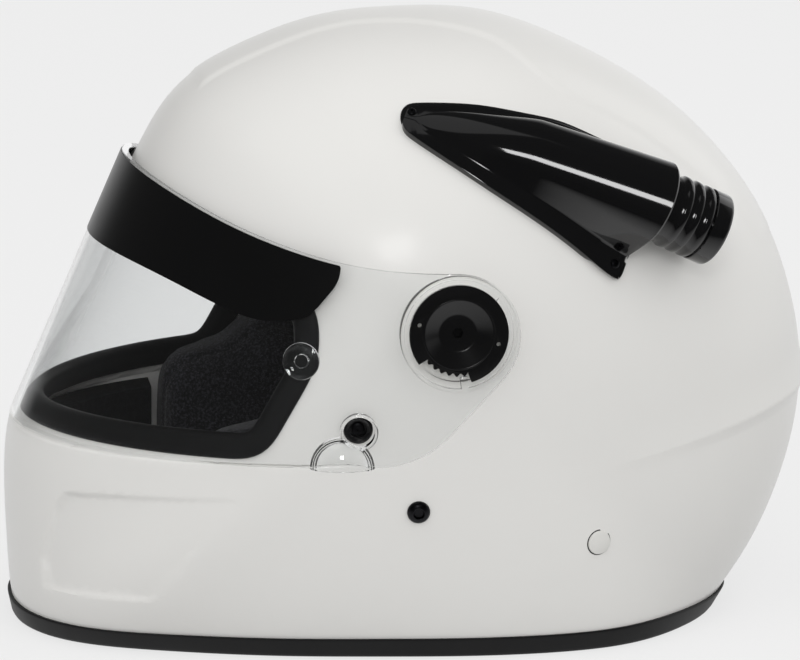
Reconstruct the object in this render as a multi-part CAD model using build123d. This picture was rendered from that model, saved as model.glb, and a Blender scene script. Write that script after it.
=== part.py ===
from build123d import *
from math import cos, hypot, pi, radians, sin, sqrt, tan
import os

os.makedirs("parts", exist_ok=True)

# A full-face auto racing helmet. The frame: +Z up, -Y the way the wearer faces, +X the wearer's left.
# The origin lies on the plane that the helmet stands on, midway, straight under the visor's pivot axis.

# Outer shell: reaches from the pivot axis to the shell's outermost places
shell_half_width = 122.0
pivot_height = 142.5
chin_reach = 178.5
rear_reach = 167.5
crown_rise = 116.5
shell_wall = 4.0
shell_base = 2.5
crown_roundness = 2.0
jaw_fullness = 0.4
section_count = 13
last_section_deg = 84.0
overrun = 40.0

# Eyeport and its rubber gasket
port_sill_height = 88.6
port_brow_height = 187.0
port_temple_reach = 55.0
port_corner_radius = 14.0
port_temple_radius = 34.0
gasket_band = 11.0
gasket_lip = 1.6
gasket_inner_lip = 2.0
gasket_gap = 0.6

# Visor sheet: an elliptical tube that leans back, cut to its side outline
visor_half_width = 128.2
visor_nose_reach = 138.6
visor_lean_deg = 23.8
visor_thickness = 3.0
visor_step_height = 86.5
visor_top_height = 166.8
visor_brow_height = 201.5
visor_brow_reach = 128.0
visor_sill_height = 87.2
visor_tail_radius = 26.4
visor_tail_slope_deg = 46.0
visor_tail_blend = 42.0

# Visor pivot kit, one on each side
pivot_bore_radius = 16.5
running_clearance = 0.06
pivot_plate_radius = 19.4
pivot_plate_top = 126.7
pivot_gap = 0.3
visor_floor = 1.6
visor_boss_radius = 24.2
visor_boss_top = 130.4
visor_pocket_clearance = 0.8
visor_well_radius = 22.7
ratchet_radius = 20.5
ratchet_thickness = 1.8
ratchet_root_radius = 16.2
ratchet_tooth = 1.3
ratchet_teeth = 6
notch_rear_deg = 13.0
notch_front_deg = 52.7
peg_width = 3.2
peg_turn_deg = 6.5
peg_clearance = 0.3
ratchet_corner_radius = 0.8
spanner_hole_radius = 0.9
spanner_circle_radius = 16.9
spanner_turn_deg = 15.0
dish_radius = 14.3
dish_floor_radius = 7.8
dish_depth = 4.2
screw_rim = 0.6
screw_floor = 1.5
screw_key_radius = 2.3
screw_key_depth = 2.4
key_sides = 6
pivot_shank_radius = 3.0
nut_flange_radius = 10.0
nut_flange_thickness = 1.5
nut_barrel_radius = 4.2

# Latch post and the visor's ring round it, left side only
latch_forward = 40.5
latch_height = 102.5
latch_radius = 6.15
latch_rise = 3.0
latch_socket_radius = 3.4
latch_socket_depth = 2.0
latch_hole_radius = 6.6
latch_ring_radius = 7.9
latch_ring_rise = 1.5
latch_round = 0.6
rivet_head_radius = 2.8
rivet_head_height = 1.2
rivet_shank_radius = 1.5

# Thumb tab: a thin dome on the visor's lower edge
tab_forward = 47.8
tab_half_length = 13.4
tab_rise = 13.0
tab_bulge = 8.0
tab_wall = 2.4

# Tear-off posts
tear_post_forward = 63.0
tear_post_height = 131.0
tear_post_radius = 7.7
tear_post_head = 1.8
tear_post_stand = 2.2
tear_post_stem_radius = 2.6
tear_post_spigot_radius = 1.6
tear_post_round = 0.5

# Sun strip on the visor
strip_thickness = 0.3
strip_glue = 0.05
strip_edge_margin = 1.0

# Base trim
trim_height = 8.5
trim_lip = 1.6
trim_inner_lip = 2.5
trim_round = 1.4

# Rear ledge, crown band and chin panels moulded in the shell
ledge_height = 101.0
ledge_slope_deg = 11.3
ledge_proud = 3.6
ledge_upper = 26.0
ledge_lower = 8.0
ledge_crest_share = 0.994
ledge_upper_share = 0.975
ledge_lower_share = 0.97
crown_band_proud = 1.0
crown_band_width = 63.0
crown_band_rear = 175.0
panel_turn_deg = 1.3
panel_hinge_share = 0.9
chin_panel_corner = 3.0

# Linings
liner_thickness = 32.0
comfort_thickness = 8.0
chin_liner_thickness = 20.0
cheek_gap = 4.6
cheek_middle_face = 80.0
cheek_inner_face = 60.0
cheek_bottom = 20.0
cheek_top = 104.0
cheek_front_reach = 108.0
cheek_rear_reach = 36.0
cheek_temple_rise = 13.0
cheek_temple_gap = 1.8
cheek_corner_radius = 16.0
cheek_crown = 8.0
cheek_crown_radius = 300.0
soft_gap = 0.4
liner_temple_reach = 44.0
liner_brow_height = 190.0
liner_base = 34.0
neck_roll_base = 12.0
neck_roll_thickness = 24.0
neck_roll_reach = 52.0
crown_pad_base = 168.0

# Chin strap and its fittings
strap_anchor_back = 14.9
strap_anchor_height = 65.7
strap_width = 25.0
strap_thickness = 1.6
strap_bend_radius = 7.0
strap_soft_radius = 120.0
strap_run_height = 11.0
strap_fall_height = 24.0
strap_end_reach = 54.0
tail_end_reach = 50.0
tail_fold_reach = 86.0
tail_fold_radius = 1.6
strap_seat_gap = 2.0
fold_roundness_share = 0.96
anchor_head_radius = 4.8
anchor_head_rise = 2.4
anchor_shank_radius = 2.5
anchor_nut_radius = 7.5
anchor_nut_thickness = 2.2
ring_wire_radius = 1.9
ring_inner_width = 26.0
ring_reach = 19.0
ring_corner_radius = 3.4
ring_nose_share = 0.94
ring_loop_gap = 0.25
ring_pair_gap = 0.4
ring_droop_deg = 20.0
snap_radius = 5.0
snap_thickness = 1.2
snap_stem_radius = 2.0
snap_inset = 7.0

# Head-restraint anchors
restraint_back = 62.4
restraint_height = 48.3
restraint_plug_radius = 5.1
restraint_plug_rise = 1.1
restraint_plug_shank = 2.6
restraint_plug_depth = 5.0
restraint_plug_round = 0.4
restraint_barrel_radius = 5.6
restraint_flange_radius = 11.0
restraint_flange_thickness = 1.6

# Side air intake
scoop_tip = (-7.0, 222.0)
scoop_middle = (45.0, 205.5)
scoop_rear = (84.0, 185.0)
scoop_rear_radius = 18.6
scoop_rear_lift = 18.0
scoop_leg = 8.0
scoop_flare_share = 1.42
scoop_length = 117.0
scoop_drop = 64.6
scoop_wall = 2.4
scoop_flange_thickness = 2.4
scoop_gasket_thickness = 1.0
spigot_start = (107.0, 88.0, 189.6)
spigot_end = (103.2, 112.0, 178.2)
spigot_bore_radius = 12.8
spigot_neck_radius = 14.4
spigot_barb_radius = 15.6
spigot_barbs = 3
spigot_barb_pitch = 5.2
spigot_barb_ramp = 3.2
spigot_barb_land = 1.2
spigot_neck_length = 2.6
spigot_collar_length = 8.0
spigot_root_length = 5.0
spigot_round = 1.5
intake_hole_radius = 11.0
intake_screw_head_radius = 2.7
intake_screw_shank_radius = 1.5
intake_screw_length = 7.0

# The side profile of the shell, seen from its left and taken round from the chin over the crown.
# Each pair is a share of the reach to that side: chin or rear, and crown or base.
profile_shares = [
    (-0.994, -0.838), (-1.000, -0.558), (-0.980, -0.379), (-0.908, -0.189), (-0.829, 0.009),
    (-0.745, 0.266), (-0.668, 0.501), (-0.577, 0.715), (-0.409, 0.876), (-0.231, 0.970),
    (-0.020, 1.000), (0.161, 0.987), (0.424, 0.850), (0.626, 0.678), (0.796, 0.449),
    (0.913, 0.192), (0.973, -0.042), (1.000, -0.253), (0.988, -0.435), (0.940, -0.639),
    (0.842, -0.870), (0.758, -1.018), (0.704, -1.158), (0.621, -1.404), (0.418, -1.586),
    (0.119, -1.614), (-0.224, -1.502), (-0.532, -1.375), (-0.812, -1.193), (-0.964, -1.039),
]


front_limit = chin_reach + overrun
rear_limit = rear_reach + overrun
top_limit = pivot_height + crown_rise + overrun
cap_outer = shell_half_width * sin(radians(last_section_deg))
cap_inner = (shell_half_width - shell_wall) * sin(radians(last_section_deg))
plate_floor = pivot_plate_top + pivot_gap
well_floor = plate_floor + visor_floor
ratchet_low = well_floor + pivot_gap
ratchet_top = ratchet_low + ratchet_thickness
anchor_depth = shell_wall + strap_seat_gap + 2 * strap_thickness + anchor_nut_thickness


def export(node, shape):
    """Write one piece as a STEP file that is named for it."""
    solids = shape.solids()
    export_step(solids[0] if len(solids) == 1 else Compound(children=list(solids)), f"parts/{node}.step")


def profile_points():
    """The side profile in real sizes, measured from the pivot axis."""
    points = []
    for along, up in profile_shares:
        points.append((along * (chin_reach if along < 0 else rear_reach),
                       up * (crown_rise if up > 0 else pivot_height)))
    return points


def head_form(inset):
    """The shell's outer form, moved in by the inset: the side profile, shrunk towards each side."""
    wires = []
    for index in range(section_count):
        turn = radians(last_section_deg) * (2 * index / (section_count - 1) - 1)
        out_share = abs(sin(turn))
        points = []
        for y, z in profile_points():
            reach = hypot(y, z)
            power = crown_roundness + jaw_fullness * ((1 - z / reach) / 2) ** 2
            shrink = (1 - out_share ** power) ** (1 / power) * (reach - inset) / reach
            points.append(((shell_half_width - inset) * sin(turn), y * shrink, pivot_height + z * shrink))
        wires.append(Wire([Edge.make_spline(points, periodic=True)]))
    return Solid.make_loft(wires)


def side_prism(face):
    """A side view outline, drawn in Y and Z, pushed out past both sides of the helmet."""
    return extrude(Plane.YZ * face, shell_half_width + overrun, both=True)


def zone(y_low, y_high, z_low, z_high):
    """A box right across the helmet between two places along it and two heights."""
    wide = 2 * (shell_half_width + overrun)
    return Pos(0, (y_low + y_high) / 2, (z_low + z_high) / 2) * Box(wide, y_high - y_low, z_high - z_low)


def outline(points, radii=None):
    """A closed side view outline; radii gives the rounding of some of its corners."""
    face = make_face(Polyline(*points, close=True))
    for place, radius in (radii or {}).items():
        corner = face.vertices().sort_by_distance(Vector(*points[place]))[0]
        face = fillet(corner, radius)
    return face


# The visor's tube leans back: its own plane stands across the leaning direction
visor_plane = Plane(
    origin=(0, 0, pivot_height),
    x_dir=(1, 0, 0),
    z_dir=(0, sin(radians(visor_lean_deg)), cos(radians(visor_lean_deg))),
)


def visor_tube(inset):
    """The visor's outer face as a solid elliptical bar, moved in by the inset."""
    tube = Ellipse(visor_half_width - inset, visor_nose_reach - inset)
    return extrude(visor_plane * tube, chin_reach + overrun, both=True)


def helmet_form(inset):
    """The head form, stepped in behind the visor so that the visor lies flush with the chin."""
    rear = -port_temple_reach + gasket_band
    step = zone(-front_limit, rear, visor_step_height - inset, top_limit)
    behind = visor_tube(visor_thickness + gasket_gap + gasket_lip + inset)
    return head_form(inset) - (step - behind)


base_form = head_form(0)
inner_form = head_form(shell_wall)
inner_skin = helmet_form(shell_wall)


def seat(y, z, side=1):
    """The plane on the shell's outer face at a side view place, its Z pointing outwards."""
    skin = base_form.faces().sort_by(SortBy.AREA)[-1]
    hits = skin.find_intersection_points(Axis((0, y, z), (1, 0, 0)))
    point = max((hit[0] for hit in hits), key=lambda p: p.X)
    normal = [hit[1] for hit in hits if hit[0].X == point.X][0]
    if normal.X < 0:
        normal = -normal
    return Plane(
        origin=(side * point.X, point.Y, point.Z),
        x_dir=Vector(0, 1, 0).cross(Vector(side * normal.X, normal.Y, normal.Z)),
        z_dir=(side * normal.X, normal.Y, normal.Z),
    )


def across(side):
    """The pivot axis as a plane whose Z points out of that side and whose Y points up."""
    return Plane(origin=(0, 0, pivot_height), x_dir=(0, side, 0), z_dir=(side, 0, 0))


def disc(side, radius, inner, outer, hole=0.0):
    """A disc on the pivot axis between two distances from the middle of the helmet."""
    face = Circle(radius) - Circle(hole) if hole else Circle(radius)
    return extrude(across(side) * Pos(0, 0, inner) * face, outer - inner)


# Side view outlines
port_outline_points = [
    (-front_limit, port_sill_height),
    (-port_temple_reach * 1.42, port_sill_height),
    (-port_temple_reach, pivot_height - port_temple_reach * 0.24),
    (-port_temple_reach, pivot_height + port_temple_reach * 0.15),
    (-port_temple_reach * 1.18, pivot_height + port_temple_reach * 0.36),
    (-port_temple_reach * 2.06, port_brow_height - port_temple_reach * 0.10),
    (-port_temple_reach * 2.40, port_brow_height),
    (-front_limit, port_brow_height),
]
port_outline = outline(
    port_outline_points,
    {1: port_corner_radius, 2: port_temple_radius, 3: port_corner_radius, 4: port_corner_radius,
     5: port_temple_radius},
)


# The visor's top edge: share of the way from brow to pivot, and share of the rise that is left
visor_top_shares = [
    (0, 1), (0.105, 0.816), (0.305, 0.487), (0.453, 0.294), (0.633, 0.121), (0.816, 0.029), (1, 0),
]
visor_top_slope_share = 0.45


def visor_outline():
    """The visor from the side: a top edge falling to the pivot, a round tail, a slope to the sill."""
    slope = radians(visor_tail_slope_deg)
    tangent = (visor_tail_radius * sin(slope), visor_top_height - visor_tail_radius * (1 + cos(slope)))
    run = (tangent[1] - visor_sill_height) / sin(slope)
    corner = (tangent[0] - run * cos(slope), visor_sill_height)
    blend = visor_tail_blend * tan(slope / 2)
    blend_start = (corner[0] + blend * cos(slope), corner[1] + blend * sin(slope))
    blend_end = (corner[0] - blend, corner[1])
    top_points = [(visor_brow_reach * (along - 1),
                   visor_top_height + rise * (visor_brow_height - visor_top_height))
                  for along, rise in visor_top_shares]
    top_edge = Spline(*top_points, tangents=[(1, -visor_top_slope_share), (1, 0)])
    tail_far = (visor_tail_radius, visor_top_height - visor_tail_radius)
    round_tail = ThreePointArc(top_points[-1], tail_far, tangent)
    straight = Line(tangent, blend_start)
    round_sill = TangentArc(blend_start, blend_end, tangent=(-cos(slope), -sin(slope)))
    front = [(-front_limit, visor_sill_height), (-front_limit, visor_brow_height)]
    rest = Polyline(blend_end, *front, top_points[0])
    return make_face(Curve() + [top_edge, round_tail, straight, round_sill, rest])


visor_face = visor_outline()

# Half of the crown band seen from above: shares of its half width and of its rear reach
crown_band_shares = [
    (0.0, -0.54), (0.317, -0.54), (0.317, -0.41), (0.286, -0.16), (0.349, -0.03), (0.492, 0.08),
    (0.635, 0.17), (0.889, 0.25), (1.0, 0.32), (0.952, 0.63), (0.714, 0.86), (0.0, 1.0),
]

# The chin's side panel: shares of the chin's reach and of the visor sill's height
chin_panel_shares = [
    (-0.880, 0.757), (-0.903, 0.675), (-0.918, 0.544), (-0.932, 0.409), (-0.924, 0.262), (-0.891, 0.266),
    (-0.804, 0.280), (-0.693, 0.283), (-0.504, 0.816), (-0.672, 0.799), (-0.779, 0.785),
]

# The intake's sections: shares of the seat line's length, of the rear radius and of the rear lift
scoop_section_shares = [
    (0.0, 0.25, 0.0), (0.22, 0.62, 0.15), (0.5, 0.82, 0.36), (0.78, 0.95, 0.66), (1.0, 1.0, 1.0),
]

# The intake's flange and its screws: shares of its length behind the tip and of its drop below it
scoop_flange_shares = [
    (-0.095, -0.042), (-0.090, -0.008), (-0.070, 0.026), (0.029, 0.147), (0.191, 0.341), (0.403, 0.606),
    (0.550, 0.820), (0.625, 0.935), (0.655, 0.958), (0.680, 0.900), (0.715, 0.780), (0.780, 0.620),
    (0.850, 0.360), (0.700, 0.180), (0.480, 0.000), (0.350, -0.062), (0.260, -0.098), (0.178, -0.122),
    (0.047, -0.137), (-0.028, -0.138), (-0.068, -0.124), (-0.088, -0.090),
]
scoop_screw_shares = [(-0.055, -0.06), (0.632, 0.872), (0.6, 0.13)]

# The lower edge of the sun strip, as shares of the brow's reach and of its height over the pivot
strip_edge_shares = [
    (-1.6, 0.46), (-1.011, 0.356), (-0.855, 0.244), (-0.709, 0.117), (-0.613, 0.066), (-0.527, 0.078),
    (-0.459, 0.141), (-0.418, 0.239), (-0.377, 0.366), (-0.367, 0.47),
]


def bar(plane, radius, low, high):
    """A round bar along a plane's Z between two heights over it."""
    return extrude(plane * Pos(0, 0, low) * Circle(radius), high - low)


def dome(plane, radius, rise, form):
    """A low domed head that sits on a curved form."""
    ball = (radius ** 2 + rise ** 2) / (2 * rise)
    cap = (plane * Pos(0, 0, rise - ball) * Sphere(ball)) & bar(plane, 2 * radius, -rise / 2, 2 * rise)
    return cap - form


def cone(side, low_radius, high_radius, inner, outer):
    """A cone on the pivot axis between two distances from the middle of the helmet."""
    return across(side) * Pos(0, 0, (inner + outer) / 2) * Cone(low_radius, high_radius, outer - inner)


def visor_seat(y, z, side=1):
    """The plane on the visor's outer face at a side view place, its Z outwards and its X along the helmet."""
    lean = radians(visor_lean_deg)
    along = y * cos(lean) - (z - pivot_height) * sin(lean)
    x = visor_half_width * sqrt(1 - (along / visor_nose_reach) ** 2)
    slant = along / visor_nose_reach ** 2
    normal = Vector(side * x / visor_half_width ** 2, slant * cos(lean), -slant * sin(lean))
    axis = visor_plane.z_dir
    return Plane(origin=(side * x, y, z), x_dir=axis.cross(normal), z_dir=normal)


def rear_ledge():
    """The ridge round the back, faired into the sides: three copies of the shell's own section."""
    slope = radians(ledge_slope_deg)
    cut = Plane(origin=(0, rear_reach, ledge_height), x_dir=(1, 0, 0), z_dir=(0, -sin(slope), cos(slope)))
    ring = section(base_form, section_by=cut).faces().sort_by(SortBy.AREA)[-1].outer_wire()
    middle = Vector(0, 0, ledge_height)
    wires = []
    for rise, share, back in ((ledge_upper, ledge_upper_share, 0), (0, ledge_crest_share, ledge_proud),
                              (-ledge_lower, ledge_lower_share, 0)):
        centred = ring.translate(-middle).scale(share)
        wires.append(centred.translate(middle + Vector(0, back, rise)))
    return Solid.make_loft(wires, ruled=True)


def crown_band():
    """The raised spine over the crown, wider to the rear."""
    half = [(crown_band_width * across_share, crown_band_rear * along_share)
            for across_share, along_share in crown_band_shares]
    plan = make_face(Polyline(*half, *[(-x, y) for x, y in reversed(half[1:-1])], close=True))
    raised = Pos(0, 0, crown_band_proud) * base_form
    return extrude(Pos(0, 0, pivot_height) * plan, top_limit - pivot_height) & raised


def chin_panel(side):
    """What the chin's side panel takes off the shell: the skin outside a form turned a little inwards."""
    points = [(chin_reach * along, visor_sill_height * up) for along, up in chin_panel_shares]
    face = outline(points, {0: chin_panel_corner, 4: chin_panel_corner, 7: chin_panel_corner})
    hinge = (side * shell_half_width * panel_hinge_share, -chin_reach / 2, 0)
    turned = Pos(*hinge) * Rot(0, 0, -side * panel_turn_deg) * Pos(*[-place for place in hinge]) * base_form
    return extrude(Plane.YZ * face, side * (shell_half_width + overrun)) - turned


# The sides' fixing places on the shell
latch = seat(-latch_forward, latch_height)
strap_seats = [seat(-strap_anchor_back, strap_anchor_height, side) for side in (1, -1)]
restraint_seats = [seat(restraint_back, restraint_height, side) for side in (1, -1)]
intake_seat = seat(*scoop_middle)
scoop_screw_seats = [seat(scoop_tip[0] + along * scoop_length, scoop_tip[1] - down * scoop_drop)
                     for along, down in scoop_screw_shares]


def outer_shell():
    """The composite shell with its ledge, band and panels, open at the neck and at the eyeport."""
    solid = helmet_form(0) + rear_ledge() + crown_band()
    for side in (1, -1):
        solid -= chin_panel(side)
    solid -= inner_skin
    solid -= zone(-front_limit, rear_limit, -top_limit, shell_base)
    solid -= side_prism(offset(port_outline, -gasket_band / 2))
    for side in (1, -1):
        solid -= disc(side, nut_barrel_radius, cap_inner - overrun, cap_outer + overrun)
    for plane in strap_seats:
        solid -= bar(plane, anchor_shank_radius, -overrun, overrun)
    for plane in restraint_seats:
        solid -= bar(plane, restraint_barrel_radius, -overrun, overrun)
    solid -= bar(latch, rivet_shank_radius, -overrun, overrun)
    solid -= bar(intake_seat, intake_hole_radius, -overrun, overrun)
    for plane in scoop_screw_seats:
        solid -= bar(plane, intake_screw_shank_radius, -overrun, overrun)
    return solid.solids().sort_by(SortBy.VOLUME)[-1]


def eyeport_gasket(shell):
    """The U-shaped rubber edge that grips the shell's edge all round the eyeport."""
    band = side_prism(port_outline) - side_prism(offset(port_outline, -gasket_band))
    rubber = helmet_form(-gasket_lip) - helmet_form(shell_wall + gasket_inner_lip)
    return (rubber & band) - shell


def base_trim(shell):
    """The rubber roll round the shell's lower edge, flat underneath."""
    rubber = head_form(-trim_lip) - head_form(shell_wall + trim_inner_lip)
    roll = rubber & zone(-front_limit, rear_limit, 0, trim_height)
    roll = fillet(roll.edges().group_by(Axis.Z)[0], trim_round)
    return roll - shell


def visor():
    """The clear visor: sheet, pivot bosses with their wells and pegs, latch ring and thumb tab."""
    cut = side_prism(visor_face)
    sheet = (visor_tube(0) - visor_tube(visor_thickness)) & cut
    for side in (1, -1):
        sheet += disc(side, visor_boss_radius, visor_half_width - visor_thickness, visor_boss_top) & cut
        sheet -= disc(side, visor_well_radius, well_floor, visor_boss_top + overrun)
        pocket = pivot_plate_radius + visor_pocket_clearance
        sheet -= disc(side, pocket, visor_half_width - visor_thickness - overrun, plate_floor)
        sheet -= disc(side, pivot_bore_radius, plate_floor - overrun, well_floor + overrun)
        sheet += stop_peg(side)
        sheet -= bar(visor_seat(-tear_post_forward, tear_post_height, side), tear_post_spigot_radius,
                     -2 * visor_thickness, visor_thickness)
    reach = latch.origin + latch.z_dir * (visor_half_width - shell_half_width)
    over_latch = Plane(origin=visor_seat(reach.Y, reach.Z).origin, x_dir=latch.x_dir, z_dir=latch.z_dir)
    sheet += bar(over_latch, latch_ring_radius, -visor_thickness / 2, latch_ring_rise)
    tab_plane = visor_seat(-tab_forward, visor_sill_height)
    bump = tab_plane * scale(Sphere(1), by=(tab_half_length, tab_rise, tab_bulge))
    inner = (tab_half_length - tab_wall, tab_rise - tab_wall, tab_bulge - tab_wall)
    hollow = tab_plane * scale(Sphere(1), by=inner)
    sheet += (bump & cut) - visor_tube(visor_thickness)
    sheet -= hollow
    sheet -= bar(over_latch, latch_hole_radius, -2 * visor_thickness, 2 * latch_ring_rise)
    return sheet


def stop_peg(side):
    """The peg that stands in the well and rides along the ratchet's teeth."""
    inner = ratchet_root_radius + ratchet_tooth + peg_clearance
    outer = (visor_well_radius + visor_boss_radius) / 2
    height = visor_boss_top - plate_floor - visor_floor / 2
    turn = Rot(0, 0, side * peg_turn_deg)
    place = Pos(0, -(inner + outer) / 2, visor_boss_top - height / 2)
    return across(side) * turn * place * Box(peg_width, outer - inner, height)


def sun_strip():
    """The dark strip stuck along the visor's top edge."""
    lift = visor_brow_height - pivot_height
    low_edge = [(visor_brow_reach * along, pivot_height + lift * up) for along, up in strip_edge_shares]
    above = [(low_edge[-1][0], top_limit), (low_edge[0][0], top_limit)]
    region = make_face(Curve() + [Spline(*low_edge), Polyline(low_edge[-1], *above, low_edge[0])])
    face = (Pos(0, -strip_edge_margin) * visor_face) & region
    return (visor_tube(-strip_glue - strip_thickness) & side_prism(face)) - visor_tube(-strip_glue)


def tear_off_post(side):
    """A round headed post that tear-off films hook on, on a spigot through the visor."""
    plane = visor_seat(-tear_post_forward, tear_post_height, side)
    head = bar(plane, tear_post_radius, tear_post_stand, tear_post_stand + tear_post_head)
    head = fillet(head.edges().filter_by(GeomType.CIRCLE).sort_by(plane_distance(plane))[-1], tear_post_round)
    stem = bar(plane, tear_post_stem_radius, 0, tear_post_stand)
    return head + stem + bar(plane, tear_post_spigot_radius, -visor_thickness, 0)


def plane_distance(plane):
    """Sorts edges by their height over a plane."""
    return lambda edge: (edge.center(CenterOf.BOUNDING_BOX) - plane.origin).dot(plane.z_dir)


def pivot_base(side):
    """The plate screwed on the shell, with the hub that the visor turns on."""
    plate = disc(side, pivot_plate_radius, cap_inner, pivot_plate_top)
    hub = disc(side, pivot_bore_radius - running_clearance, cap_inner, ratchet_low)
    return plate + hub - base_form - pivot_screw_body(side)


def pivot_screw_body(side):
    """The pivot screw's outside: a wide conical head and a shank."""
    floor = ratchet_top - dish_depth - screw_floor
    head = cone(side, dish_floor_radius + screw_rim, dish_radius + screw_rim, floor, ratchet_top)
    return head + disc(side, pivot_shank_radius, cap_inner - nut_flange_thickness, floor)


def pivot_screw(side):
    """The pivot screw, dished, with a hexagon socket in the dish's floor."""
    dish = cone(side, dish_floor_radius, dish_radius, ratchet_top - dish_depth, ratchet_top)
    socket_plane = across(side) * Pos(0, 0, ratchet_top - dish_depth - screw_key_depth)
    socket = extrude(socket_plane * RegularPolygon(screw_key_radius, key_sides), screw_key_depth)
    return pivot_screw_body(side) - dish - socket


def pivot_nut(side):
    """The flanged nut in the shell that takes the pivot screw."""
    flange = disc(side, nut_flange_radius, cap_inner - nut_flange_thickness, cap_inner)
    barrel = disc(side, nut_barrel_radius, cap_inner, cap_outer)
    return flange + barrel - disc(side, pivot_shank_radius, cap_inner - overrun, cap_outer + overrun)


def ratchet_ring(side):
    """The cover ring: a wide notch with a row of scallops for the visor's peg, and two spanner holes."""
    first = radians(notch_rear_deg)
    last = radians(-notch_front_deg)
    steps = 2 * ratchet_teeth
    teeth = []
    for index in range(steps + 1):
        turn = first + (last - first) * index / steps
        reach = ratchet_root_radius + (ratchet_tooth if index % 2 else 0)
        teeth.append((side * reach * sin(turn), -reach * cos(turn)))
    far = 2 * ratchet_radius
    outside = [(side * far * sin(turn), -far * cos(turn)) for turn in (last, first)]
    notch = make_face(Curve() + [Spline(*teeth), Polyline(teeth[-1], *outside, teeth[0])])
    face = Circle(ratchet_radius) - notch
    rim = [corner for corner in face.vertices()
           if corner.Y < -ratchet_radius / 2 and hypot(corner.X, corner.Y) > ratchet_radius - ratchet_tooth]
    face = fillet(rim, ratchet_corner_radius)
    for turn in (radians(spanner_turn_deg), radians(spanner_turn_deg) + pi):
        place = Pos(side * spanner_circle_radius * cos(turn), -spanner_circle_radius * sin(turn))
        face -= place * Circle(spanner_hole_radius)
    ring = extrude(across(side) * Pos(0, 0, ratchet_low) * face, ratchet_thickness)
    return ring - pivot_screw_body(side)


def latch_post():
    """The post under the visor's latch ring, with a socket in its top."""
    post = bar(latch, latch_radius, -latch_rise, latch_rise)
    post = fillet(post.edges().sort_by(plane_distance(latch))[-1], latch_round)
    post -= bar(latch, latch_socket_radius, latch_rise - latch_socket_depth, 2 * latch_rise)
    return post - base_form - bar(latch, rivet_shank_radius, -overrun, overrun)


def latch_rivet():
    """The rivet that holds the post: a head in its socket and one inside the shell."""
    floor = latch_rise - latch_socket_depth
    shank = bar(latch, rivet_shank_radius, -shell_wall - rivet_head_height, floor)
    top = bar(latch, rivet_head_radius, floor, floor + rivet_head_height)
    inside = bar(latch, rivet_head_radius, -shell_wall - rivet_head_height, 0) & inner_form
    return shank + top + inside


def impact_liner():
    """The moulded foam over the crown, the sides and the back, open at the face and the neck."""
    ledge = cheek_top + soft_gap
    points = [
        (neck_roll_reach, liner_base),
        (rear_limit, liner_base),
        (rear_limit, top_limit),
        (-front_limit, top_limit),
        (-front_limit, liner_brow_height),
        (-2 * port_temple_reach, liner_brow_height),
        (-liner_temple_reach, pivot_height + liner_temple_reach / 4),
        (-liner_temple_reach, ledge),
        (neck_roll_reach, ledge),
    ]
    side = outline(points, {5: port_temple_radius, 6: port_corner_radius, 8: port_corner_radius})
    foam = (inner_skin - head_form(shell_wall + liner_thickness)) & side_prism(side)
    for turn in (1, -1):
        bed = cap_inner - nut_flange_thickness - soft_gap
        foam -= disc(turn, nut_flange_radius + soft_gap, bed, cap_outer)
    for plane in restraint_seats:
        depth = shell_wall + restraint_flange_thickness + soft_gap
        foam -= bar(plane, restraint_flange_radius + soft_gap, -depth, 0)
    foam -= bar(latch, rivet_head_radius + soft_gap, -shell_wall - rivet_head_height - soft_gap, 0)
    foam -= bar(intake_seat, intake_hole_radius, -2 * liner_thickness, 0)
    return foam.solids().sort_by(SortBy.VOLUME)[-1]


def chin_liner():
    """The moulded foam inside the chin bar."""
    foam = inner_form - head_form(shell_wall + chin_liner_thickness)
    top = visor_step_height - shell_wall - soft_gap
    return foam & zone(-front_limit, -cheek_front_reach - soft_gap, cheek_bottom, top)


def cheek_pad(side):
    """One cheek pad: drawn in towards the face, with a crowned inner face."""
    temple = -liner_temple_reach - cheek_temple_gap
    points = [
        (-cheek_front_reach, cheek_bottom),
        (-cheek_front_reach, cheek_top - cheek_temple_rise / 2),
        ((temple - cheek_front_reach) / 2, cheek_top),
        (temple - cheek_corner_radius, cheek_top + cheek_temple_rise),
        (temple, cheek_top + cheek_temple_rise),
        (temple, cheek_top),
        (cheek_rear_reach, cheek_top),
        (cheek_rear_reach, cheek_bottom),
    ]
    small = cheek_corner_radius / 4
    face = outline(points, {0: cheek_corner_radius, 1: cheek_corner_radius, 3: small, 4: small,
                            6: cheek_corner_radius / 2, 7: cheek_corner_radius})
    centre_y = (cheek_rear_reach - cheek_front_reach) / 2
    centre_z = (cheek_bottom + cheek_top) / 2
    wires = []
    for out, draw in ((shell_half_width, 0), (cheek_middle_face, cheek_crown / 4),
                      (cheek_inner_face - cheek_crown / 2, cheek_crown)):
        shares = (1 - 2 * draw / (cheek_front_reach + cheek_rear_reach),
                  1 - 2 * draw / (cheek_top - cheek_bottom), 1)
        drawn = Pos(centre_y, centre_z) * scale(Pos(-centre_y, -centre_z) * face, by=shares)
        wires.append((Plane.YZ.offset(side * out) * drawn).faces()[0].outer_wire())
    pad = Solid.make_loft(wires, ruled=True)
    ball_centre = (side * (cheek_inner_face + cheek_crown_radius), centre_y, centre_z)
    pad = pad & Pos(*ball_centre) * Sphere(cheek_crown_radius) & helmet_form(shell_wall + cheek_gap)
    plane = strap_seats[0 if side > 0 else 1]
    return pad - bar(plane, anchor_nut_radius + soft_gap, -anchor_depth - soft_gap, 0)


def crown_pad():
    """The comfort pad inside the liner's crown."""
    outer = shell_wall + liner_thickness + soft_gap
    pad = head_form(outer) - head_form(outer + comfort_thickness)
    pad = pad & zone(-front_limit, rear_limit, crown_pad_base, top_limit)
    return pad - bar(intake_seat, intake_hole_radius, -2 * liner_thickness, 0)


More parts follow.
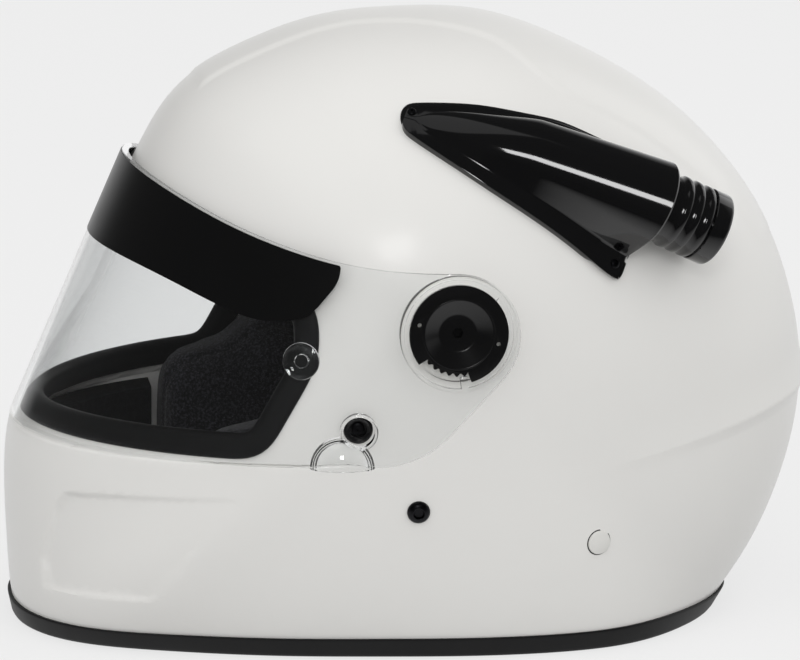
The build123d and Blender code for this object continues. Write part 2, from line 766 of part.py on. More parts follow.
def neck_roll():
    """The pad round the back of the neck opening."""
    roll = head_form(shell_wall + cheek_gap) - head_form(shell_wall + cheek_gap + neck_roll_thickness)
    return roll & zone(neck_roll_reach, rear_limit, neck_roll_base, liner_base - soft_gap)


def strap_path(side, end):
    """The middle line of a chin strap: down inside the shell, round a bend and in towards the middle."""
    depth = shell_wall + strap_seat_gap + strap_thickness / 2
    places = []
    for height in (strap_anchor_height + strap_width / 2, (strap_anchor_height + strap_fall_height) / 2,
                   strap_fall_height):
        plane = seat(-strap_anchor_back, height)
        place = plane.origin - plane.z_dir * depth
        places.append((place.X, place.Z))
    fall = (places[2][0] - places[1][0]) / (places[2][1] - places[1][1])
    corner = (places[2][0] + fall * (strap_run_height - places[2][1]), strap_run_height)
    return [(side * x, z) for x, z in (places[0], places[1], corner, (end, strap_run_height))]


def strap_solid(face):
    """A strap's edge view, drawn in X and Z, made as wide as the strap."""
    plane = Plane(origin=(0, -strap_anchor_back - strap_width / 2, 0), x_dir=(1, 0, 0), z_dir=(0, -1, 0))
    return extrude(plane * face, -strap_width)


def ribbon(points, radii):
    """A strap's edge view along a path with rounded corners."""
    path = FilletPolyline(*points, radius=radii)
    return trace(path, line_width=strap_thickness)


def chin_strap_left():
    """The left strap: hung from its anchor, with a sewn loop for the two rings."""
    loop = ring_wire_radius * 2 + ring_pair_gap / 2 + ring_loop_gap
    points = strap_path(1, strap_end_reach + loop)
    face = ribbon(points, [strap_soft_radius, strap_bend_radius])
    eye = Pos(strap_end_reach, strap_run_height)
    face = face + eye * Circle(loop + strap_thickness) - eye * Circle(loop)
    return strap_solid(face) - bar(strap_seats[0], anchor_shank_radius, -2 * overrun, 0)


def chin_strap_right():
    """The right strap: a plain tail, folded back and held by a snap."""
    points = strap_path(-1, tail_end_reach)
    fold = strap_run_height + 2 * tail_fold_radius
    points += [(-tail_end_reach, fold), (-tail_fold_reach, fold)]
    near = tail_fold_radius * fold_roundness_share
    face = ribbon(points, [strap_soft_radius, strap_bend_radius, near, near])
    return strap_solid(face) - bar(strap_seats[1], anchor_shank_radius, -2 * overrun, 0) - strap_snap()


def strap_snap():
    """The snap that holds the right strap's folded end."""
    plane = Plane(origin=(-tail_fold_reach + snap_inset, -strap_anchor_back, strap_run_height))
    top = 2 * tail_fold_radius + strap_thickness / 2
    low = -strap_thickness / 2
    return bar(plane, snap_radius, top, top + snap_thickness) + bar(plane, snap_stem_radius, low, top) \
        + bar(plane, snap_radius, low - snap_thickness, low)


def d_ring(level):
    """One wire ring with a straight bar; level is its height over the pair's middle at rest."""
    half = ring_inner_width / 2 + ring_wire_radius
    points = [(0, -half), (ring_reach, -half), (ring_reach, half), (0, half)]
    wide = half * ring_nose_share
    path = FilletPolyline(*points, radius=[ring_corner_radius, wide, wide, ring_corner_radius], close=True)
    droop = radians(ring_droop_deg)
    plane = Plane(
        origin=(strap_end_reach, -strap_anchor_back, strap_run_height),
        x_dir=(-cos(droop), 0, -sin(droop)),
        z_dir=(-sin(droop), 0, cos(droop)),
    )
    wire = plane * Pos(0, 0, level) * path
    start = wire.edges().sort_by(SortBy.LENGTH)[-1]
    section_plane = Plane(origin=start @ 0.5, z_dir=start % 0.5)
    return sweep(section_plane * Circle(ring_wire_radius), path=wire)


def strap_anchor_screw(side):
    """The strap anchor's screw, its domed head outside the shell."""
    plane = strap_seats[0 if side > 0 else 1]
    shank = bar(plane, anchor_shank_radius, -anchor_depth, anchor_head_rise / 2)
    return dome(plane, anchor_head_radius, anchor_head_rise, base_form) + shank


def strap_anchor_nut(side, strap):
    """The strap anchor's round nut, inside the strap."""
    plane = strap_seats[0 if side > 0 else 1]
    middle = -shell_wall - strap_seat_gap - strap_thickness
    nut = bar(plane, anchor_nut_radius, middle - strap_thickness / 2 - anchor_nut_thickness, middle)
    nut -= strap + bar(plane, anchor_shank_radius, -2 * overrun, 0)
    return nut.solids().sort_by(SortBy.VOLUME)[-1]


def restraint_insert(side):
    """The threaded insert of a head-restraint anchor: a flange inside the shell, a barrel through it."""
    plane = restraint_seats[0 if side > 0 else 1]
    flange = bar(plane, restraint_flange_radius, -shell_wall - restraint_flange_thickness, 0) & inner_form
    barrel = bar(plane, restraint_barrel_radius, -shell_wall - restraint_flange_thickness, 0) & base_form
    return flange + barrel - bar(plane, restraint_plug_shank, -overrun, overrun)


def restraint_plug(side):
    """The plug in a head-restraint anchor's thread: a low round head and a shank."""
    plane = restraint_seats[0 if side > 0 else 1]
    head = bar(plane, restraint_plug_radius, -restraint_plug_rise, restraint_plug_rise)
    head = fillet(head.edges().sort_by(plane_distance(plane))[-1], restraint_plug_round)
    return head - base_form + bar(plane, restraint_plug_shank, -restraint_plug_depth, restraint_plug_rise / 2)


def spigot_plane():
    """The plane at the hose spigot's root, its Z along the spigot and its Y away from the shell."""
    start = Vector(*spigot_start)
    axis = (Vector(*spigot_end) - start).normalized()
    out = seat(*scoop_rear).z_dir
    return Plane(origin=start, x_dir=out.cross(axis), z_dir=axis)


def scoop_body(inset):
    """The intake's body as a solid: arched sections along its seat line, moved in by the inset."""
    line = Spline(scoop_tip, scoop_middle, scoop_rear)
    wires = []
    for along, size, lift in scoop_section_shares:
        radius = scoop_rear_radius * size - inset
        place = line @ along
        course = line % along
        plane = seat(place.X, place.Y)
        if along < 1:
            normal = plane.z_dir
            ahead = Vector(-(normal.Y * course.X + normal.Z * course.Y) / normal.X, course.X, course.Y)
            plane = Plane(origin=plane.origin + normal * (scoop_rear_lift * lift),
                          x_dir=normal.cross(ahead), z_dir=ahead)
        else:
            plane = spigot_plane().offset(-inset)
        leg = scoop_rear_lift * lift + scoop_leg
        arch = Polyline((radius, 0), (radius, -leg), (-radius * scoop_flare_share, -leg), (-radius, 0)) \
            + ThreePointArc((-radius, 0), (0, radius), (radius, 0))
        wires.append((plane * make_face(arch)).faces()[0].outer_wire())
    return Solid.make_loft(wires)


scoop_cavity = scoop_body(scoop_wall)


def scoop_footprint():
    """The flange's outline, pushed out past the shell's left side."""
    points = [(scoop_tip[0] + along * scoop_length, scoop_tip[1] - down * scoop_drop)
              for along, down in scoop_flange_shares]
    face = make_face(Spline(*points, periodic=True))
    return extrude(Plane.YZ * face, shell_half_width + overrun)


def scoop():
    """The side air intake: a hollow body that widens to the hose spigot, and its flange on the shell."""
    tip_radius = scoop_rear_radius * scoop_section_shares[0][1]
    nose = Pos(*seat(*scoop_tip).origin) * Sphere(tip_radius)
    skirt = head_form(-scoop_gasket_thickness)
    flange = head_form(-scoop_gasket_thickness - scoop_flange_thickness) & scoop_footprint()
    solid = scoop_body(0) + nose + flange - skirt - scoop_cavity
    solid -= bar(spigot_plane(), spigot_neck_radius, -spigot_root_length, spigot_root_length)
    for plane in scoop_screw_seats:
        solid -= bar(plane, intake_screw_shank_radius, -overrun, overrun)
    return solid.solids().sort_by(SortBy.VOLUME)[-1]


def scoop_gasket():
    """The soft gasket between the intake's flange and the shell."""
    sheet = (head_form(-scoop_gasket_thickness) & scoop_footprint()) - base_form - scoop_cavity
    for plane in scoop_screw_seats:
        sheet -= bar(plane, intake_screw_shank_radius, -overrun, overrun)
    return sheet.solids().sort_by(SortBy.VOLUME)[-1]


def scoop_screw(plane):
    """One of the intake's fixing screws."""
    height = scoop_gasket_thickness + scoop_flange_thickness
    rise = intake_screw_head_radius / 2
    head = dome(plane.offset(height), intake_screw_head_radius, rise, head_form(-height))
    return head + bar(plane, intake_screw_shank_radius, height - intake_screw_length, height)


def hose_spigot():
    """The barbed spigot that the air hose pushes on, with a plain collar at its end."""
    profile = [(spigot_bore_radius, -spigot_root_length), (spigot_neck_radius, -spigot_root_length)]
    place = spigot_neck_length
    for _ in range(spigot_barbs):
        profile += [(spigot_neck_radius, place),
                    (spigot_barb_radius, place + spigot_barb_pitch - spigot_barb_ramp),
                    (spigot_barb_radius, place + spigot_barb_pitch - spigot_barb_land)]
        place += spigot_barb_pitch
        profile.append((spigot_neck_radius, place - spigot_barb_land))
    profile += [(spigot_barb_radius, place), (spigot_barb_radius, place + spigot_collar_length),
                (spigot_bore_radius, place + spigot_collar_length)]
    face = make_face(Polyline(*profile, close=True))
    end = face.vertices().sort_by_distance(Vector(spigot_barb_radius, place + spigot_collar_length))[0]
    face = fillet(end, spigot_round)
    turned = revolve(Plane.XZ * face, axis=Axis.Z)
    return spigot_plane() * turned


shell = outer_shell()
export("outer_shell", shell)
export("eyeport_gasket", eyeport_gasket(shell))
export("base_trim", base_trim(shell))
export("visor", visor())
export("sun_strip", sun_strip())
export("latch_post", latch_post())
export("latch_rivet", latch_rivet())
for side, name in ((1, "left"), (-1, "right")):
    export(f"tear_off_post_{name}", tear_off_post(side))
    export(f"pivot_base_{name}", pivot_base(side))
    export(f"pivot_screw_{name}", pivot_screw(side))
    export(f"pivot_nut_{name}", pivot_nut(side))
    export(f"ratchet_ring_{name}", ratchet_ring(side))
    export(f"cheek_pad_{name}", cheek_pad(side))
    export(f"restraint_insert_{name}", restraint_insert(side))
    export(f"restraint_plug_{name}", restraint_plug(side))
export("impact_liner", impact_liner())
export("chin_liner", chin_liner())
export("crown_pad", crown_pad())
export("neck_roll", neck_roll())
left_strap = chin_strap_left()
right_strap = chin_strap_right()
export("chin_strap_left", left_strap)
export("chin_strap_right", right_strap)
export("strap_snap", strap_snap())
anchor_nuts = [strap_anchor_nut(1, left_strap), strap_anchor_nut(-1, right_strap)]
export("strap_anchor_screws", Compound(children=[strap_anchor_screw(side) for side in (1, -1)]))
export("strap_anchor_nuts", Compound(children=anchor_nuts))
ring_level = ring_wire_radius + ring_pair_gap / 2
export("d_ring_upper", d_ring(ring_level))
export("d_ring_lower", d_ring(-ring_level))
export("air_intake", scoop())
export("air_intake_gasket", scoop_gasket())
export("air_intake_screws", Compound(children=[scoop_screw(plane) for plane in scoop_screw_seats]))
export("hose_spigot", hose_spigot())
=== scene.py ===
# %% [markdown]
# # An auto racing helmet, dressed in Blender
# The CAD model is the fixed frame. This lesson gives it the surfaces that a camera sees: a glossy
# white shell, a clear visor, black moulded parts, rubber edges and cloth linings.

# %% Load the CAD frame
import math
import bpy
import numpy as np
from mathutils import Matrix, Vector


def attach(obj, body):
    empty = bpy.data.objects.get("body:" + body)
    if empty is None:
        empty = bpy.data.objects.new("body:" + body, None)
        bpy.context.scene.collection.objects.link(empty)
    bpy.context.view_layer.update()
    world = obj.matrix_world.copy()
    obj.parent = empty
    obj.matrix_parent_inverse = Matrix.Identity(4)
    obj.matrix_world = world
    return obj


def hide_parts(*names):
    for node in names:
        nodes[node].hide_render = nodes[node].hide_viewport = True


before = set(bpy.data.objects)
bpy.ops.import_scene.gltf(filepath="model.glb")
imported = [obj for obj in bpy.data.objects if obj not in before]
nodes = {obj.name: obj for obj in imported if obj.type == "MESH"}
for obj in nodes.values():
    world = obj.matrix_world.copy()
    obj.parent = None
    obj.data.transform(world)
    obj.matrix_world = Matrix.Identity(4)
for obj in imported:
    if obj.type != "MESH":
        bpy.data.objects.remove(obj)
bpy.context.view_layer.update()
bpy.ops.object.select_all(action="DESELECT")

# %% [markdown]
# ## Camera, floor and light
# The photograph was taken with a long lens from the wearer's left, a little above the helmet. A long
# lens keeps both sides nearly parallel, so the camera stands more than two metres away. The floor is
# white paper with a white room behind it, so no horizon line shows in the camera's view.

# %% Camera
view = bpy.context.scene
view.view_settings.view_transform = "Standard"
bpy.ops.object.camera_add(location=(2.210, -0.3106, 0.5564))
camera = bpy.context.object
camera.rotation_euler = (Vector((0, -0.0065, 0.1194)) - camera.location).to_track_quat("-Z", "Y").to_euler()
camera.data.lens = 236
camera.data.sensor_width = 36
view.camera = camera
print("camera at", tuple(round(c, 3) for c in camera.location))

# %% Small functions for selection, meshes, colours and nodes
SIDES = ((1, "left"), (-1, "right"))


def only(*pieces):
    """Selects just these pieces, the first as the active one."""
    bpy.ops.object.select_all(action="DESELECT")
    for piece in pieces:
        piece.select_set(True)
    bpy.context.view_layer.objects.active = pieces[0]


def piece_from(name, places, faces, edges=()):
    """A new, selected piece from places in millimetres over the base."""
    mesh = bpy.data.meshes.new(name)
    mesh.from_pydata((np.array(places, float) / 1000).tolist(), list(edges), faces)
    piece = bpy.data.objects.new(name, mesh)
    view.collection.objects.link(piece)
    only(piece)
    return piece


def edited(*steps):
    """Runs mesh operators on the active piece in Edit Mode, each on the whole of its mesh."""
    bpy.ops.object.mode_set(mode="EDIT")
    for operator, settings in steps:
        bpy.ops.mesh.select_all(action="SELECT")
        operator(**settings)
    bpy.ops.object.mode_set(mode="OBJECT")


def shaped(piece, kind, **settings):
    """Gives a piece one modifier with its settings, and applies it."""
    only(piece)
    modifier = piece.modifiers.new(kind.lower(), kind)
    for name, value in settings.items():
        setattr(modifier, name, value)
    bpy.ops.object.modifier_apply(modifier=modifier.name)


def painted(piece, material):
    """Gives a piece one material and no other."""
    piece.data.materials.clear()
    piece.data.materials.append(material)


def linear(code, alpha=1.0):
    """An sRGB hex colour as the linear numbers that a shader works in."""
    shares = [int(code[i:i + 2], 16) / 255 for i in (1, 3, 5)]
    return [s / 12.92 if s <= 0.04045 else ((s + 0.055) / 1.055) ** 2.4 for s in shares] + [alpha]


def node(owner, kind, settings=None, links=None):
    """Adds one node, with its properties or input values, and links its inputs to other nodes' sockets."""
    made = owner.node_tree.nodes.new(kind)
    for name, value in (settings or {}).items():
        if isinstance(name, str) and hasattr(made, name):
            setattr(made, name, value)
        else:
            made.inputs[name].default_value = value
    for name, socket in (links or {}).items():
        owner.node_tree.links.new(socket, made.inputs[name])
    return made


def maths(owner, operation, first, second):
    """One sum of a material or the world; each side is a number or another node's socket."""
    sides = dict(enumerate((first, second)))
    numbers = {i: value for i, value in sides.items() if isinstance(value, float)}
    sockets = {i: value for i, value in sides.items() if i not in numbers}
    return node(owner, "ShaderNodeMath", {"operation": operation, **numbers}, sockets).outputs[0]


def pattern(material, kind, **settings):
    """Adds a pattern that lies in the piece's own coordinates."""
    place = node(material, "ShaderNodeTexCoord")
    return node(material, kind, settings, {"Vector": place.outputs["Object"]})


def two_tone(material, shader, share, first, second):
    """Gives the shader a base colour between two, as a pattern's value rises."""
    mix = node(material, "ShaderNodeMix", {"data_type": "RGBA", 6: linear(first), 7: linear(second)}, {0: share})
    material.node_tree.links.new(mix.outputs[2], shader.inputs["Base Color"])


def start(name, colour, roughness, **more):
    """A new material with its principled shader set, ready for its pattern nodes."""
    material = bpy.data.materials.new(name)
    material.use_nodes = True
    shader = material.node_tree.nodes["Principled BSDF"]
    shader.inputs["Base Color"].default_value = linear(colour)
    shader.inputs["Roughness"].default_value = roughness
    for socket, value in more.items():
        shader.inputs[socket.replace("_", " ")].default_value = value
    return material, shader


def bump(material, shader, height, strength, distance):
    """Turns a pattern into small relief; the distance is its depth in metres."""
    relief = node(material, "ShaderNodeBump", {"Strength": strength, "Distance": distance}, {"Height": height})
    material.node_tree.links.new(relief.outputs["Normal"], shader.inputs["Normal"])


print("white is", [round(c, 3) for c in linear("#E6E5E2")])

# %% The paper floor
bpy.ops.mesh.primitive_plane_add(size=1, location=(0, 0, 0))
floor = bpy.context.object
floor.name = "studio_floor"
bpy.ops.object.mode_set(mode="EDIT")
bpy.ops.transform.resize(value=(6, 6, 1))
bpy.ops.transform.translate(value=(0, 0, -0.0002))
bpy.ops.object.mode_set(mode="OBJECT")
bpy.ops.object.transform_apply(location=True, rotation=True, scale=True)
paper, paper_shader = start("studio_paper", "#C9C9C9", 0.9)
# Gloss and glass see the paper nearest the camera dark, so that black parts stay black.
lit = node(paper, "ShaderNodeEmission", {"Color": (1, 1, 1, 1), "Strength": 1.0})
dark = node(paper, "ShaderNodeEmission", {"Color": (1, 1, 1, 1), "Strength": 0.05})
rays = node(paper, "ShaderNodeLightPath")
place = node(paper, "ShaderNodeTexCoord")
along = node(paper, "ShaderNodeSeparateXYZ", {}, {0: place.outputs["Object"]})
nearer = node(paper, "ShaderNodeMapRange", {"From Min": 0.16, "From Max": 0.45}, {"Value": along.outputs[0]})
through_or_off = maths(paper, "MAXIMUM", rays.outputs["Is Transmission Ray"], rays.outputs["Is Glossy Ray"])
share = maths(paper, "MULTIPLY", maths(paper, "MAXIMUM", rays.outputs["Is Camera Ray"], through_or_off), 0.72)
mixed = node(paper, "ShaderNodeMixShader", {}, {0: share, 1: paper_shader.outputs[0], 2: lit.outputs[0]})
flagged = maths(paper, "MULTIPLY", through_or_off, nearer.outputs[0])
mixed = node(paper, "ShaderNodeMixShader", {}, {0: flagged, 1: mixed.outputs[0], 2: dark.outputs[0]})
paper.node_tree.links.new(mixed.outputs[0], paper.node_tree.nodes["Material Output"].inputs["Surface"])
floor.data.materials.append(paper)
print("floor", tuple(floor.dimensions))

# %% [markdown]
# White all round comes from the world: the camera sees it at full strength. The shell is lit by the
# same world at a plain level that is a little stronger from the camera's side and from above, which
# models the curves without a hot spot; light that comes through the visor has that level too. A
# photographer darkens that side of the room so that black mouldings look black, so gloss and glass
# see it dark, and see white behind the helmet. One small softbox draws the bar on the intake.

# %% The white room
world = bpy.data.worlds.new("white_room")
view.world = world
world.use_nodes = True
path = node(world, "ShaderNodeLightPath")
way = node(world, "ShaderNodeTexCoord")
beside = node(world, "ShaderNodeVectorMath", {"operation": "DOT_PRODUCT", 1: (0.55, -0.55, 0.63)},
              {0: way.outputs["Generated"]})
dark_side = node(world, "ShaderNodeMapRange", {"From Min": -0.6, "From Max": -0.05, "To Min": 1.0, "To Max": 0.06},
                 {"Value": beside.outputs["Value"]})
mirrored = maths(world, "MAXIMUM", path.outputs["Is Glossy Ray"], path.outputs["Is Transmission Ray"])
mirrored = maths(world, "MULTIPLY", mirrored, dark_side.outputs[0])
toward = node(world, "ShaderNodeVectorMath", {"operation": "DOT_PRODUCT", 1: (0.78, 0.0, 0.63)},
              {0: way.outputs["Generated"]})
soft_side = node(world, "ShaderNodeMapRange", {"From Min": -0.6, "From Max": 1.0, "To Min": 0.08, "To Max": 1.2},
                 {"Value": toward.outputs["Value"]})
lights = maths(world, "MINIMUM", path.outputs["Diffuse Depth"], 1.0)
plain = maths(world, "MULTIPLY", lights, soft_side.outputs[0])
level = maths(world, "MAXIMUM", maths(world, "MAXIMUM", mirrored, plain), path.outputs["Is Camera Ray"])
background = world.node_tree.nodes["Background"]
background.inputs["Color"].default_value = (1, 1, 1, 1)
world.node_tree.links.new(level, background.inputs["Strength"])
print("world nodes:", len(world.node_tree.nodes))

# %% Lamps
for name, place, aim, size, power in (
        ("bar_softbox", (2.09, -0.30, 1.10), (0.116, 0.057, 0.204), (0.34, 0.42), 5),
        ("overhead_softbox", (0.3, -0.6, 2.2), (0, 0, 0.12), (1.6, 1.6), 3),
        ("rear_fill", (-0.9, 1.6, 1.2), (0, 0, 0.12), (1.2, 1.2), 3),
):
    bpy.ops.object.light_add(type="AREA", location=place)
    lamp = bpy.context.object
    lamp.name = name
    lamp.data.shape = "RECTANGLE"
    lamp.data.size, lamp.data.size_y = size
    lamp.data.energy = power
    lamp.rotation_euler = (Vector(aim) - Vector(place)).to_track_quat("-Z", "Y").to_euler()
    print(name, power, "W")

# %% [markdown]
# ## The form of the shell
# A helmet shell is laid up in a mould whose surface has no flat place, so it is described by numbers
# first: how far the side profile stands from the pivot axis, and how the section narrows to each
# side. The mesh is then a cube, finely divided and blown out to that form, which spreads its quads
# evenly over the crown, where a sphere's poles would pinch the reflections.

# %% The side profile as a smooth curve round the pivot
PIVOT = 142.5
HALF_WIDTH = 122.0
reach_pairs = np.array([
    (-0.994, -0.838), (-1.000, -0.558), (-0.980, -0.379), (-0.908, -0.189), (-0.829, 0.009),
    (-0.745, 0.266), (-0.668, 0.501), (-0.577, 0.715), (-0.409, 0.876), (-0.231, 0.970),
    (-0.020, 1.000), (0.161, 0.987), (0.424, 0.850), (0.626, 0.678), (0.796, 0.449),
    (0.913, 0.192), (0.973, -0.042), (1.000, -0.253), (0.988, -0.435), (0.940, -0.639),
    (0.842, -0.870), (0.758, -1.018), (0.704, -1.158), (0.621, -1.404), (0.418, -1.586),
    (0.119, -1.614), (-0.224, -1.502), (-0.532, -1.375), (-0.812, -1.193), (-0.964, -1.039)])
profile = np.stack([np.where(reach_pairs[:, 0] < 0, 178.5, 167.5) * reach_pairs[:, 0],
                    np.where(reach_pairs[:, 1] > 0, 116.5, 142.5) * reach_pairs[:, 1]], 1)


def smooth_through(at, values, places, period=None):
    """A cubic through values at rising places; with a period it closes on itself."""
    ends = np.append(at, at[0] + period) if period else np.array(at, float)
    levels = np.append(values, values[0]) if period else np.array(values, float)
    gap = np.diff(ends)
    rise = np.diff(levels) / gap
    matrix = np.zeros((len(ends), len(ends)))
    right = np.zeros(len(ends))
    for i in range(1, len(ends) - 1):
        matrix[i, i - 1:i + 2] = gap[i - 1], 2 * (gap[i - 1] + gap[i]), gap[i]
        right[i] = 6 * (rise[i] - rise[i - 1])
    if period:
        matrix[0, 0], matrix[0, -1] = 1, -1
        matrix[-1, [0, 1, -1, -2]] = 2 * gap[0], gap[0], 2 * gap[-1], gap[-1]
        right[-1] = 6 * (rise[0] - rise[-1])
    else:
        matrix[0, 0] = matrix[-1, -1] = 1
    curve = np.linalg.solve(matrix, right)
    places = (places - ends[0]) % period + ends[0] if period else np.clip(places, ends[0], ends[-1])
    i = np.clip(np.searchsorted(ends, places, "right") - 1, 0, len(gap) - 1)
    low, high, h = places - ends[i], ends[i + 1] - places, gap[i]
    return (curve[i] * high ** 3 + curve[i + 1] * low ** 3) / (6 * h) \
        + (levels[i] / h - curve[i] * h / 6) * high + (levels[i + 1] / h - curve[i + 1] * h / 6) * low


def run_of(line):
    """How far along a line each of its points is."""
    return np.concatenate([[0], np.cumsum(np.linalg.norm(np.diff(line, axis=0), axis=1))])


turns = np.degrees(np.arctan2(profile[:, 1], -profile[:, 0])) % 360
order = np.argsort(turns)
profile_turns, profile_reach = turns[order], np.hypot(*profile.T)[order]
fine_turns = np.arange(0, 360, 0.25)
fine_reach = smooth_through(profile_turns, profile_reach, fine_turns, 360.0)
print("reach to chin and crown:", fine_reach[0].round(1), fine_reach[360].round(1))


# %% How far a point lies from the middle, as a share of the form's own reach
def form_share(p, inset=0.0):
    """1 on the shell's outer form, less inside it; p in millimetres from the pivot axis's middle."""
    across, along, up = np.abs(p[..., 0]), p[..., 1], p[..., 2]
    radius = np.hypot(along, up) + 1e-9
    reach = np.interp(np.degrees(np.arctan2(up, -along)) % 360, fine_turns, fine_reach, period=360)
    power = 2 + 0.4 * ((1 - up / radius) / 2) ** 2
    return ((across / (HALF_WIDTH - inset)) ** power + (radius / (reach - inset)) ** power) ** (1 / power)


LEAN = math.radians(23.8)
TUBE_WIDE, TUBE_DEEP = 128.2, 138.6  # the half sizes of the tube that the visor is a part of
SHELF, SHELF_BACK, STEP_IN = 86.5, -44, 5.2  # where the shell steps in behind the visor, and how far
STEP_WIDE, STEP_DEEP = TUBE_WIDE - STEP_IN, TUBE_DEEP - STEP_IN


def leaned(along, up):
    """How far back a place is in the tube's own section, which leans."""
    return along * math.cos(LEAN) - up * math.sin(LEAN)


def visor_share(p, inset=0.0):
    """The same share for the visor's leaning elliptical tube."""
    return np.hypot(p[..., 0] / (TUBE_WIDE - inset), leaned(p[..., 1], p[..., 2]) / (TUBE_DEEP - inset))


def stepped_share(p, inset=0.0):
    """The shell with its step behind the visor."""
    behind = (p[..., 2] > SHELF - PIVOT) & (p[..., 1] < SHELF_BACK)
    return np.where(behind, np.maximum(form_share(p, inset), visor_share(p, STEP_IN + inset)), form_share(p, inset))


def on_tube(y, z):
    """The tube's place on the left, in millimetres over the base, and the way out from it."""
    local = leaned(y, z - PIVOT)
    x, slope = TUBE_WIDE * math.sqrt(1 - (local / TUBE_DEEP) ** 2), local / TUBE_DEEP ** 2
    return (x, y, z), Vector((x / TUBE_WIDE ** 2, slope * math.cos(LEAN), -slope * math.sin(LEAN)))


def out_to(share, origin, direction, far=260.0, **more):
    """Points where rays from inside the form reach it, found by halving."""
    low, high = np.zeros(len(direction)), np.full(len(direction), far)
    for _ in range(36):
        middle = (low + high) / 2
        inside = share(origin + direction * middle[:, None], **more) < 1
        low, high = np.where(inside, middle, low), np.where(inside, high, middle)
    return origin + direction * low[:, None]


def facing(share, p, **more):
    """Unit normals of a form at points on it, from small steps."""
    slopes = [share(p + step, **more) - share(p - step, **more) for step in np.eye(3) * 0.25]
    normal = np.stack(slopes, -1)
    return normal / np.linalg.norm(normal, axis=-1, keepdims=True)


print("crown at", out_to(form_share, np.zeros((1, 3)), np.array([[0, 0, 1.0]]))[0].round(2))


# %% Edges drawn as outlines, and how far a point is inside one
def inside_depth(points, corners):
    """Distance inside a closed outline, positive inside, for many points at once."""
    corners = np.array(corners, float)
    near = np.full(len(points), 1e9)
    crossing = np.zeros(len(points), bool)
    for a, b in zip(corners, np.roll(corners, -1, 0)):
        run = b - a
        t = np.clip((points - a) @ run / (run @ run), 0, 1)
        near = np.minimum(near, np.linalg.norm(points - a - t[:, None] * run, axis=1))
        if a[1] != b[1]:
            hit = (a[1] > points[:, 1]) != (b[1] > points[:, 1])
            crossing ^= hit & (points[:, 0] < (b[0] - a[0]) * (points[:, 1] - a[1]) / (b[1] - a[1]) + a[0])
    return np.where(crossing, near, -near)


def soft(value, low, high):
    """0 below low, 1 above high, and a smooth rise between."""
    t = np.clip((value - low) / (high - low), 0, 1)
    return t * t * (3 - 2 * t)


half_band = [(0, -.54), (.317, -.54), (.317, -.41), (.286, -.16), (.349, -.03), (.492, .08), (.635, .17),
             (.889, .25), (1, .32), (.952, .63), (.714, .86), (0, 1)]
band_outline = [(63 * x, 175 * y) for x, y in half_band] + [(-63 * x, 175 * y) for x, y in half_band[-2:0:-1]]
panel_outline = [(178.5 * y, 87.2 * z) for y, z in (
    (-.880, .757), (-.903, .675), (-.918, .544), (-.932, .409), (-.924, .262), (-.891, .266), (-.804, .280),
    (-.693, .283), (-.504, .816), (-.672, .799), (-.779, .785))]
print("crown band", len(band_outline), "corners; chin panel", len(panel_outline))

# %% The shell's skin, blown out from a divided cube
bpy.ops.mesh.primitive_cube_add(size=2, location=(0, 0, 0))
shell = bpy.context.object
shell.name = "shell_skin"
edited((bpy.ops.mesh.subdivide, {"number_cuts": 92}))


def vertices_of(piece):
    """A piece's vertices in metres, as rows of an array."""
    flat = np.empty(len(piece.data.vertices) * 3)
    piece.data.vertices.foreach_get("co", flat)
    return flat.reshape(-1, 3)


def places_of(piece):
    """A piece's vertices in millimetres from the pivot axis's middle."""
    return vertices_of(piece) * 1000 - (0, 0, PIVOT)


def put_back(piece, places):
    """Writes such places back into the mesh."""
    piece.data.vertices.foreach_set("co", ((places + (0, 0, PIVOT)) / 1000).ravel())
    piece.data.update()


cube = np.tan(vertices_of(shell) * math.pi / 4)
rays = cube / np.linalg.norm(cube, axis=1, keepdims=True)
skin = rays / form_share(rays)[:, None]
put_back(shell, skin)
print("skin quads:", len(shell.data.polygons))

# %% [markdown]
# The ledge round the back, the band over the crown and the panels in the chin are moulded in, so
# their edges are soft. Extra edge loops are cut where the crests run, and each feature then lifts or
# sinks the skin by a smooth amount. The same is done for the shelf that the visor closes on.

# %% Cut loops along the ledge and the shelf, and open the base
slope = math.radians(11.3)
ledge_up = Vector((0, -math.sin(slope), math.cos(slope)))
LEDGE = np.array((0, 167.5, 101.0))
planes = [(Vector(LEDGE / 1000) + ledge_up * over, ledge_up) for over in (-0.0035, -0.0012, 0.0, 0.0012, 0.0035, 0.007)]
planes += [((0, 0, height), (0, 0, 1)) for height in (0.0853, 0.0861, 0.0865, 0.0871)]
for (y1, z1), (y2, z2) in (((-90.0, 71.2), (-157.1, 66.0)), ((-161.2, 58.9), (-166.4, 35.7)),
                           ((-159.0, 23.2), (-123.7, 24.7))):
    cross = Vector((0, z1 - z2, y2 - y1)).normalized()
    planes += [(Vector((0, y1 / 1000, z1 / 1000)) + cross * over, cross) for over in (-0.0018, -0.0006, 0.0006, 0.0018)]
only(shell)
edited(*[(bpy.ops.mesh.bisect, {"plane_co": place, "plane_no": way}) for place, way in planes],
       (bpy.ops.mesh.bisect, {"plane_co": (0, 0, 0.0025), "plane_no": (0, 0, 1), "clear_inner": True}))
print("after the cuts:", len(shell.data.polygons))

